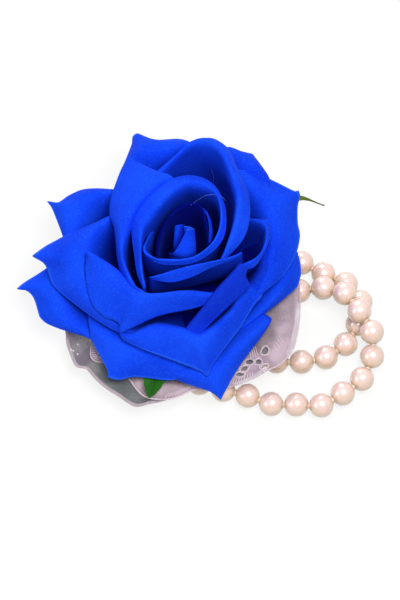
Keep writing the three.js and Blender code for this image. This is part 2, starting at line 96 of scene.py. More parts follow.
def newFinish(name, color, roughness):
    material = bpy.data.materials.new(name)
    material.use_nodes = True
    tree = material.node_tree
    shader = tree.nodes["Principled BSDF"]
    fill(tree, shader, {"Base Color": (*color, 1), "Roughness": roughness})
    return material, tree, shader


# view, light and floor: lamps are placed in mm and aimed at the rose's foot

viewSet = {
    "target": (5.2, -10.3, 15.0), "elevation": 66.0, "distance": 1088.0, "near": 10.0,
    "lens": 200.0, "sensor": 36.0,
}
lamps = {
    "key": {"place": (110, -110, 520), "power": 2.6},
    "side": {"place": (-400, -160, 300), "power": 0.7},
    "back": {"place": (-60, 420, 260), "power": 1.1},
}
roomSet = {"aim": (0, 0, 20), "lampSize": 260, "strength": 0.13, "white": (1, 1, 1, 1)}
floorSet = {"size": 4000.0, "drop": 0.15, "clear": 0.82, "color": (0.92, 0.92, 0.92), "roughness": 0.9}


def makeCamera():
    tilt = math.radians(viewSet["elevation"])
    back = Vector((0, -math.cos(tilt), math.sin(tilt)))
    lens = bpy.data.cameras.new("camera")
    lens.lens = viewSet["lens"]
    lens.sensor_width = viewSet["sensor"]
    lens.clip_start = viewSet["near"] * mm
    camera = linked("camera", lens)
    camera.location = (Vector(viewSet["target"]) + back * viewSet["distance"]) * mm
    camera.rotation_euler = (-back).to_track_quat("-Z", "Y").to_euler()
    scene.camera = camera


def seenRays(tree):
    # camera, glossy and transmission rays together
    path = addNode(tree, "ShaderNodeLightPath").outputs
    seen = calculated(tree, "MAXIMUM", path["Is Camera Ray"], path["Is Glossy Ray"])
    return calculated(tree, "MAXIMUM", seen, path["Is Transmission Ray"])


def mixedShader(tree, share, first, second, result):
    mix = addNode(tree, "ShaderNodeMixShader", {0: share, 1: first.outputs[0], 2: second.outputs[0]})
    tree.links.new(mix.outputs[0], tree.nodes[result].inputs[0])


def makeLights():
    for name, spec in lamps.items():
        lamp = bpy.data.lights.new(name + "Light", "AREA")
        lamp.size = roomSet["lampSize"] * mm
        lamp.energy = spec["power"]
        holder = linked(name + "Light", lamp)
        holder.location = Vector(spec["place"]) * mm
        ahead = Vector(roomSet["aim"]) * mm - holder.location
        holder.rotation_euler = ahead.to_track_quat("-Z", "Y").to_euler()
    world = bpy.data.worlds.new("room")
    world.use_nodes = True
    scene.world = world
    tree = world.node_tree
    dim = tree.nodes["Background"]
    fill(tree, dim, {"Color": roomSet["white"], "Strength": roomSet["strength"]})
    plain = addNode(tree, "ShaderNodeBackground", {"Color": roomSet["white"], "Strength": 1.0})
    mixedShader(tree, seenRays(tree), dim, plain, "World Output")


def makeFloor():
    # a clear table over the white room, so strands that hang below it still show
    half = floorSet["size"] * mm / 2
    low = -floorSet["drop"] * mm
    mesh = bpy.data.meshes.new("floor")
    corners = [(-half, -half, low), (half, -half, low), (half, half, low), (-half, half, low)]
    mesh.from_pydata(corners, [], [(0, 1, 2, 3)])
    material, tree, matt = newFinish("paperFloor", floorSet["color"], floorSet["roughness"])
    glass = addNode(tree, "ShaderNodeBsdfTransparent")
    shadow = addNode(tree, "ShaderNodeLightPath").outputs["Is Shadow Ray"]
    rays = calculated(tree, "MAXIMUM", seenRays(tree), shadow)
    mixedShader(tree, calculated(tree, "MULTIPLY", rays, floorSet["clear"]), matt, glass, "Material Output")
    mesh.materials.append(material)
    linked("floor", mesh)


makeCamera()
makeLights()
makeFloor()
print("camera, lights and floor are set")

# lines and sheets, in mm


def hermite(keys, knots, values):
    # the smooth curve through the keys, which stand at the knots, read at the values
    knots = np.asarray(knots, float)
    slopes = np.empty_like(keys)
    slopes[0] = (keys[1] - keys[0]) / (knots[1] - knots[0])
    slopes[-1] = (keys[-1] - keys[-2]) / (knots[-1] - knots[-2])
    for i in range(1, len(knots) - 1):
        slopes[i] = (keys[i + 1] - keys[i - 1]) / (knots[i + 1] - knots[i - 1])
    span = np.clip(np.searchsorted(knots, values, side="right") - 1, 0, len(knots) - 2)
    step = knots[span + 1] - knots[span]
    t = ((values - knots[span]) / step).reshape((-1,) + (1,) * (keys.ndim - 1))
    step = step.reshape(t.shape)
    return (
        keys[span] * (2 * t**3 - 3 * t**2 + 1)
        + slopes[span] * step * (t**3 - 2 * t**2 + t)
        + keys[span + 1] * (3 * t**2 - 2 * t**3)
        + slopes[span + 1] * step * (t**3 - t**2)
    )


def lengthsAlong(points):
    return np.r_[0, np.cumsum(np.linalg.norm(np.diff(points, axis=0), axis=1))]


def unit(vectors):
    return vectors / np.maximum(np.linalg.norm(vectors, axis=-1, keepdims=True), 1e-9)


def smoothLine(points, count):
    points = np.asarray(points, float)
    knots = lengthsAlong(points)
    return hermite(points, knots, np.linspace(0, knots[-1], count))


def pointedLine(points, tip, count):
    # smooth on both sides of a sharp tip
    if tip == 0:
        return smoothLine(points, count)
    points = np.asarray(points, float)
    least = 6
    left = lengthsAlong(points[: tip + 1])[-1]
    right = lengthsAlong(points[tip:])[-1]
    leftCount = 1 + max(least, round((count - 1) * left / (left + right)))
    leftCount = min(leftCount, count - least)
    rightLine = smoothLine(points[tip:], count - leftCount + 1)
    return np.vstack([smoothLine(points[: tip + 1], leftCount), rightLine[1:]])


def fromPolar(knots, hub):
    azimuth, radius, height = np.array(knots, float).T
    return np.c_[radius * np.cos(np.radians(azimuth)), radius * np.sin(np.radians(azimuth)), hub + height]


def crumpled(grid, size, pitch, seed):
    # low soft waves square to the sheet
    normals = unit(np.cross(np.gradient(grid, axis=1), np.gradient(grid, axis=0)))
    start = Vector((seed, 0, 0))
    shift = np.array([[noise.noise(Vector(p / pitch) + start) for p in row] for row in grid])
    return grid + normals * (shift * size)[..., None]


def cellsOf(grid, wrap):
    # the four corner values of every cell, in the order of a face
    if wrap:
        grid = np.concatenate([grid, grid[:, :1]], axis=1)
    return np.stack([grid[:-1, :-1], grid[:-1, 1:], grid[1:, 1:], grid[1:, :-1]], axis=2)


def sheetObject(name, grid, thickness, material, wrap=False, deep=0.0, across=None, along=None, gone=None):
    # across and along are the UV of columns and rows, gone marks points left out;
    # deep lowers the second, which spreads a finish's painted shade further up the sheet
    rows, columns = grid.shape[:2]
    across = np.linspace(0, 1, columns + wrap) if across is None else across
    along = np.linspace(0, 1, rows) if along is None else along
    gone = np.zeros((rows, columns), bool) if gone is None else gone
    kept = ~cellsOf(gone, wrap).all(axis=2)
    faces = cellsOf(np.arange(rows * columns).reshape(rows, columns), wrap)[kept]
    uv = np.stack(np.broadcast_arrays(across, along[:, None] - deep), axis=2)
    mesh = bpy.data.meshes.new(name)
    mesh.from_pydata([tuple(p * mm) for p in grid.reshape(-1, 3)], [], faces.tolist())
    layer = mesh.uv_layers.new(name="UVMap")
    layer.data.foreach_set("uv", cellsOf(uv, False)[kept].ravel())
    mesh.polygons.foreach_set("use_smooth", [True] * len(mesh.polygons))
    mesh.materials.append(material)
    if gone.any():
        form = bmesh.new()
        form.from_mesh(mesh)
        bmesh.ops.delete(form, geom=[v for v in form.verts if not v.link_faces], context="VERTS")
        form.to_mesh(mesh)
        form.free()
    obj = linked(name, mesh)
    if thickness:
        wall = obj.modifiers.new("thickness", "SOLIDIFY")
        wall.thickness = thickness * mm
        wall.offset = 0
        wall.use_even_offset = False
    return obj


# finishes: a noise is its scale per metre and its detail, a bump is strength and depth in mm

toneEnds = (0.3, 0.7)


def coordsOf(tree, source):
    return addNode(tree, "ShaderNodeTexCoord").outputs[source]


def partsOf(tree, source):
    return addNode(tree, "ShaderNodeSeparateXYZ", {0: coordsOf(tree, source)}).outputs


def grainAt(tree, scale, detail):
    inputs = {"Vector": coordsOf(tree, "Object"), "Scale": scale, "Detail": detail}
    return addNode(tree, "ShaderNodeTexNoise", inputs).outputs["Fac"]


def colorRange(tree, factor, stops):
    ramp = addNode(tree, "ShaderNodeValToRGB", {"Fac": factor})
    while len(ramp.color_ramp.elements) < len(stops):
        ramp.color_ramp.elements.new(0.5)
    for element, (place, color) in zip(ramp.color_ramp.elements, stops):
        element.position = place
        element.color = (*color, 1)
    return ramp.outputs["Color"]


def mottled(tree, factor, dark, light, ends=toneEnds):
    return colorRange(tree, factor, [(ends[0], dark), (ends[1], light)])


def bumpFrom(tree, shader, height, strength, depth):
    bump = addNode(tree, "ShaderNodeBump", {"Strength": strength, "Distance": depth * mm, "Height": height})
    tree.links.new(bump.outputs["Normal"], shader.inputs["Normal"])


def spread(tree, value, source, target, ease="SMOOTHSTEP"):
    # value from the source range into the target range
    ends = dict(zip(("From Min", "From Max", "To Min", "To Max"), (*source, *target)))
    return addNode(tree, "ShaderNodeMapRange", {"Value": value, **ends}, interpolation_type=ease).outputs[0]


def bandAlong(tree, value, low, high, soft):
    # 1 between low and high, falling to 0 over soft on both sides
    rising = spread(tree, value, (low - soft, low), (0, 1), "LINEAR")
    falling = spread(tree, value, (high + soft, high), (0, 1), "LINEAR")
    return calculated(tree, "MULTIPLY", rising, falling)


def mixedColor(tree, share, first, second):
    # first and second are colours or sockets that give one
    ends = [(*color, 1) if isinstance(color, tuple) else color for color in (first, second)]
    return addNode(tree, "ShaderNodeMix", {0: share, 6: ends[0], 7: ends[1]}, data_type="RGBA").outputs[2]


# painted shade: foot is the dark colour painted towards a petal's foot, rises where it fades; rim is the pale
# cut edge
paintedShadeAndEdgeSet = {"foot": (0.0006, 0.0014, 0.20), "rises": (0.15, 0.64), "rim": (0.968, 0.98), "rimShare": 0.45}
pileSet = {
    "mottle": (55.0, 4.0), "pile": (1700.0, 3.0), "tufts": (0.48, 0.72), "tuftShare": 0.3,
    "bump": (0.45, 0.14), "roughness": 0.85,
    "sheen": {"Sheen Weight": 0.1, "Sheen Roughness": 0.5, "Sheen Tint": (0.04, 0.14, 1.0, 1),
              "Specular IOR Level": 0.04},
}


def petalFinish(name, dark, light, tuft, rim):
    # UV's second value runs up a petal; painted shade darkens it towards its foot, the cut edge is pale
    material, tree, shader = newFinish(name, light, pileSet["roughness"])
    blue = mottled(tree, grainAt(tree, *pileSet["mottle"]), dark, light)
    pile = grainAt(tree, *pileSet["pile"])
    blue = mixedColor(tree, spread(tree, pile, pileSet["tufts"], (0.0, pileSet["tuftShare"])), blue, tuft)
    up = partsOf(tree, "UV")["Y"]
    blue = mixedColor(tree, spread(tree, up, paintedShadeAndEdgeSet["rim"], (0.0, paintedShadeAndEdgeSet["rimShare"])), blue, rim)
    # painted shade, from the dark foot colour up to the petal's own blue
    color = mixedColor(tree, spread(tree, up, paintedShadeAndEdgeSet["rises"], (0.0, 1.0)), paintedShadeAndEdgeSet["foot"], blue)
    fill(tree, shader, {"Base Color": color, **pileSet["sheen"]})
    bumpFrom(tree, shader, pile, *pileSet["bump"])
    return material


# the pearl tones run from painted shade on the underside to painted light on top
lustreSet = {
    "shadedToLitTones": [(0.0, (0.52, 0.39, 0.23)), (0.45, (0.70, 0.50, 0.355)), (0.8, (0.80, 0.565, 0.455)),
              (1.0, (0.83, 0.60, 0.54))],
    "cloud": (260.0, 2.0), "cloudShare": 0.3, "roughness": 0.3,
    "coat": {"Coat Weight": 1.0, "Coat Roughness": 0.24, "Coat IOR": 2.0},
    "glow": {"Subsurface Weight": 0.15, "Subsurface Scale": 1.0,
             "Subsurface Radius": (0.002, 0.0014, 0.001)},
}


def pearlFinish():
    # peach, with painted light and shade: pinker and lighter on top, darker tan towards the underside
    material, tree, shader = newFinish("pearlLustre", lustreSet["shadedToLitTones"][-1][1], lustreSet["roughness"])
    cloud = grainAt(tree, *lustreSet["cloud"])
    paintedLightFacing = partsOf(tree, "Normal")["Z"]
    # painted light and shade by which way the surface faces, with a random cloud
    height = calculated(tree, "MULTIPLY_ADD", cloud, lustreSet["cloudShare"], paintedLightFacing)
    color = colorRange(tree, height, lustreSet["shadedToLitTones"])
    fill(tree, shader, {"Base Color": color, **lustreSet["coat"], **lustreSet["glow"]})
    return material


laceSet = {
    "dark": (0.40, 0.30, 0.345), "light": (0.54, 0.41, 0.465), "pale": (0.60, 0.455, 0.51),
    "thick": 0.60, "thin": 0.26, "weave": (560, 84), "mottle": (90.0, 4.0), "stripe": (0.885, 0.925, 0.11),
    "pleats": 26, "patches": (150.0, 2.0), "patchCover": 0.2,
}
# painted light: the organza is painted lighter, in its pale colour, on arcs of UV's first value
organzaSet = {
    "dark": (0.062, 0.072, 0.078), "light": (0.115, 0.122, 0.128), "pale": (0.195, 0.165, 0.185),
    "thick": 0.93, "thin": 0.72, "weave": (620, 90), "mottle": (45.0, 4.0),
    "paintedLightBands": ((0.54, 0.612, 0.03), (0.79, 0.94, 0.04)),
    "pleats": 21, "patches": (110.0, 2.0), "patchCover": 0.06,
}
sheerSet = {
    "holes": (0.2, 0.7), "mottleCover": 0.5, "stripeCover": 0.3, "pleatCover": 0.08, "wander": 5.0,
    "patchy": (0.35, 0.65), "roughness": 0.45, "sheen": 0.2, "bump": (0.3, 0.1),
}


def sheerFinish(name, spec):
    # sheer cloth on UV: see-through between its threads and less so in its pleats
    material, tree, shader = newFinish(name, spec["light"], sheerSet["roughness"])
    parts = partsOf(tree, "UV")
    tone = grainAt(tree, *spec["mottle"])
    color = mottled(tree, tone, spec["dark"], spec["light"])
    threads = []
    for axis, count in zip("XY", spec["weave"]):
        wave = calculated(tree, "SINE", calculated(tree, "MULTIPLY", parts[axis], count * math.pi))
        threads.append(calculated(tree, "ABSOLUTE", wave))
    cross = calculated(tree, "MULTIPLY", *threads)
    cover = spread(tree, cross, sheerSet["holes"], (spec["thick"], spec["thin"]), "LINEAR")
    mottle = calculated(tree, "SUBTRACT", tone, 0.5)
    cover = calculated(tree, "MULTIPLY_ADD", mottle, sheerSet["mottleCover"], cover)
    if "stripe" in spec:
        stripe = bandAlong(tree, parts["Y"], *spec["stripe"])
        cover = calculated(tree, "MULTIPLY_ADD", stripe, sheerSet["stripeCover"], cover)
        color = mixedColor(tree, stripe, color, spec["pale"])
    # painted light: lighter arcs round the organza
    for band in spec.get("paintedLightBands", ()):
        color = mixedColor(tree, bandAlong(tree, parts["X"], *band), color, spec["pale"])
    wander = calculated(tree, "MULTIPLY", tone, sheerSet["wander"])
    turns = calculated(tree, "MULTIPLY_ADD", parts["X"], spec["pleats"] * 2 * math.pi, wander)
    pleat = calculated(tree, "SINE", turns)
    cover = calculated(tree, "MULTIPLY_ADD", pleat, sheerSet["pleatCover"], cover)
    patch = grainAt(tree, *spec["patches"])
    patch = spread(tree, patch, sheerSet["patchy"], (-spec["patchCover"], spec["patchCover"]))
    cover = calculated(tree, "ADD", cover, patch)
    fill(tree, shader, {"Base Color": color, "Alpha": cover, "Sheen Weight": sheerSet["sheen"]})
    bumpFrom(tree, shader, cross, *sheerSet["bump"])
    return material


starchSet = {
    "mottle": (220.0, 4.0), "weave": (1800.0, 2.0), "bump": (0.3, 0.1), "roughness": 0.6,
    "gloss": 0.15,
}


def leafFinish(name, dark, light, dry, dryFrom):
    # UV runs across and from foot to tip; the tip dries to brown
    material, tree, shader = newFinish(name, light, starchSet["roughness"])
    green = mottled(tree, grainAt(tree, *starchSet["mottle"]), dark, light)
    share = spread(tree, partsOf(tree, "UV")["Y"], (dryFrom, 1.0), (0.0, 1.0), "LINEAR")
    color = mixedColor(tree, share, green, dry)
    fill(tree, shader, {"Base Color": color, "Specular IOR Level": starchSet["gloss"]})
    bumpFrom(tree, shader, grainAt(tree, *starchSet["weave"]), *starchSet["bump"])
    return material


# grain is a noise's scale and detail, wave is the scale and distortion of bands along Y
grained = {
    "elastic": {"name": "elasticThread", "roughness": 0.4, "grain": (900.0, 2.0), "ends": (0.35, 0.65),
                "dark": (0.70, 0.57, 0.46), "light": (0.84, 0.74, 0.66)},
    "felt": {"name": "whiteFelt", "roughness": 0.95, "grain": (1500.0, 5.0), "sheen": 0.4,
             "bump": (0.6, 0.25), "dark": (0.70, 0.68, 0.65), "light": (0.86, 0.84, 0.81)},
    "ribbon": {"name": "satinRibbon", "roughness": 0.3, "wave": (1400.0, 1.5), "ends": (0.2, 0.8),
               "sheen": 0.2, "bump": (0.2, 0.05), "dark": (0.76, 0.73, 0.72), "light": (0.87, 0.84, 0.83)},
    "stem": {"name": "mouldedStem", "roughness": 0.45, "grain": (600.0, 3.0), "bump": (0.2, 0.1),
             "dark": (0.06, 0.16, 0.03), "light": (0.10, 0.24, 0.05)},
}
threadTones = {
    "pinkThread": ((0.66, 0.52, 0.56), (0.84, 0.71, 0.75)),
    "whiteGlint": ((0.80, 0.78, 0.79), (0.92, 0.90, 0.91)),
    "looseFibre": ((0.02, 0.06, 0.55), (0.06, 0.14, 0.85)),
    "greyHemThread": ((0.42, 0.33, 0.37), (0.57, 0.46, 0.50)),
}
for threadName, (threadDark, threadLight) in threadTones.items():
    grained[threadName] = {"name": threadName, "roughness": 0.5, "grain": (700.0, 3.0), "sheen": 0.3,
                           "bump": (0.3, 0.1), "dark": threadDark, "light": threadLight}


def grainedFinish(spec):
    material, tree, shader = newFinish(spec["name"], spec["light"], spec["roughness"])
    if "wave" in spec:
        scale, bend = spec["wave"]
        inputs = {"Vector": coordsOf(tree, "Object"), "Scale": scale, "Distortion": bend}
        grain = addNode(tree, "ShaderNodeTexWave", inputs, bands_direction="Y").outputs["Fac"]
    else:
        grain = grainAt(tree, *spec["grain"])
    color = mottled(tree, grain, spec["dark"], spec["light"], spec.get("ends", toneEnds))
    fill(tree, shader, {"Base Color": color, "Sheen Weight": spec.get("sheen", 0.0)})
    if "bump" in spec:
        bumpFrom(tree, shader, grain, *spec["bump"])
    return material


petalTones = ((0.003, 0.040, 0.72), (0.007, 0.074, 0.92), (0.022, 0.15, 1.0), (0.03, 0.17, 1.0))
# painted shade: a darker copy of the petal tones, for a petal turned away from the light
shadedPetalTones = ((0.0024, 0.022, 0.50), (0.0052, 0.040, 0.64), (0.016, 0.08, 0.70), (0.022, 0.10, 0.72))
leafTones = ((0.006, 0.075, 0.001), (0.013, 0.125, 0.002), (0.014, 0.11, 0.003), 0.9)
dryTipTones = ((0.08, 0.13, 0.008), (0.13, 0.18, 0.018), (0.09, 0.06, 0.025), 0.86)
finishes = {name: grainedFinish(spec) for name, spec in grained.items()}
finishes["petal"] = petalFinish("flockedPetal", *petalTones)
finishes["shadedPetal"] = petalFinish("shadedPetal", *shadedPetalTones)
finishes["pearl"] = pearlFinish()
finishes["lace"] = sheerFinish("pinkLaceNet", laceSet)
finishes["organza"] = sheerFinish("greyOrganza", organzaSet)
finishes["leaf"] = leafFinish("greenLeaf", *leafTones)
finishes["dryTip"] = leafFinish("dryTipLeaf", *dryTipTones)
print("finishes are mixed")

# rose petals

# deep spreads the petal finish's painted shade further up every petal of a layer, most in the bud's roll
layers = {
    "outer": {"node": "outer_petal_layer", "hub": 13.15, "footRadius": 5.0, "belly": (0.60, 0.30),
              "middle": (0.0, 0.0), "deep": 0.0},
    "middle": {"node": "middle_petal_layer", "hub": 14.15, "footRadius": 5.0, "belly": (0.66, 0.26),
               "middle": (0.0, 0.0), "deep": 0.0},
    "inner": {"node": "inner_petal_layer", "hub": 15.15, "footRadius": 6.0, "belly": (0.80, 0.30),
              "middle": (0.0, 2.0), "deep": 0.02},
    "wrap": {"node": "bud_wrap_outer", "hub": 16.15, "footRadius": 6.0, "belly": (0.92, 0.35),
             "middle": (-0.5, 3.0), "deep": 0.09},
    "roll": {"node": "bud_wrap_inner", "hub": 17.15, "footRadius": 6.0, "belly": (0.92, 0.35),
             "middle": (-0.5, 3.0), "deep": 0.58},
    "sliver": {"node": "bud_wrap_inner", "hub": 17.15, "footRadius": 5.0, "belly": (0.92, 0.35),
               "middle": (-0.5, 3.0), "deep": 0.3},
}
petalSet = {
    "across": 84, "along": 44, "thickness": 0.42, "bellyAt": 0.3, "ridgeAt": 0.62,
    "waves": 0.5, "pitch": 11.0, "seedStep": 3.7, "footRise": 0.45,
}
# a wing's steps: share of its degrees, of the end's radius and of the end's height
shoulder = ((0.5, 0.95, 0.85), (0.85, 0.8, 0.45), (1.0, 0.5, 0.12))
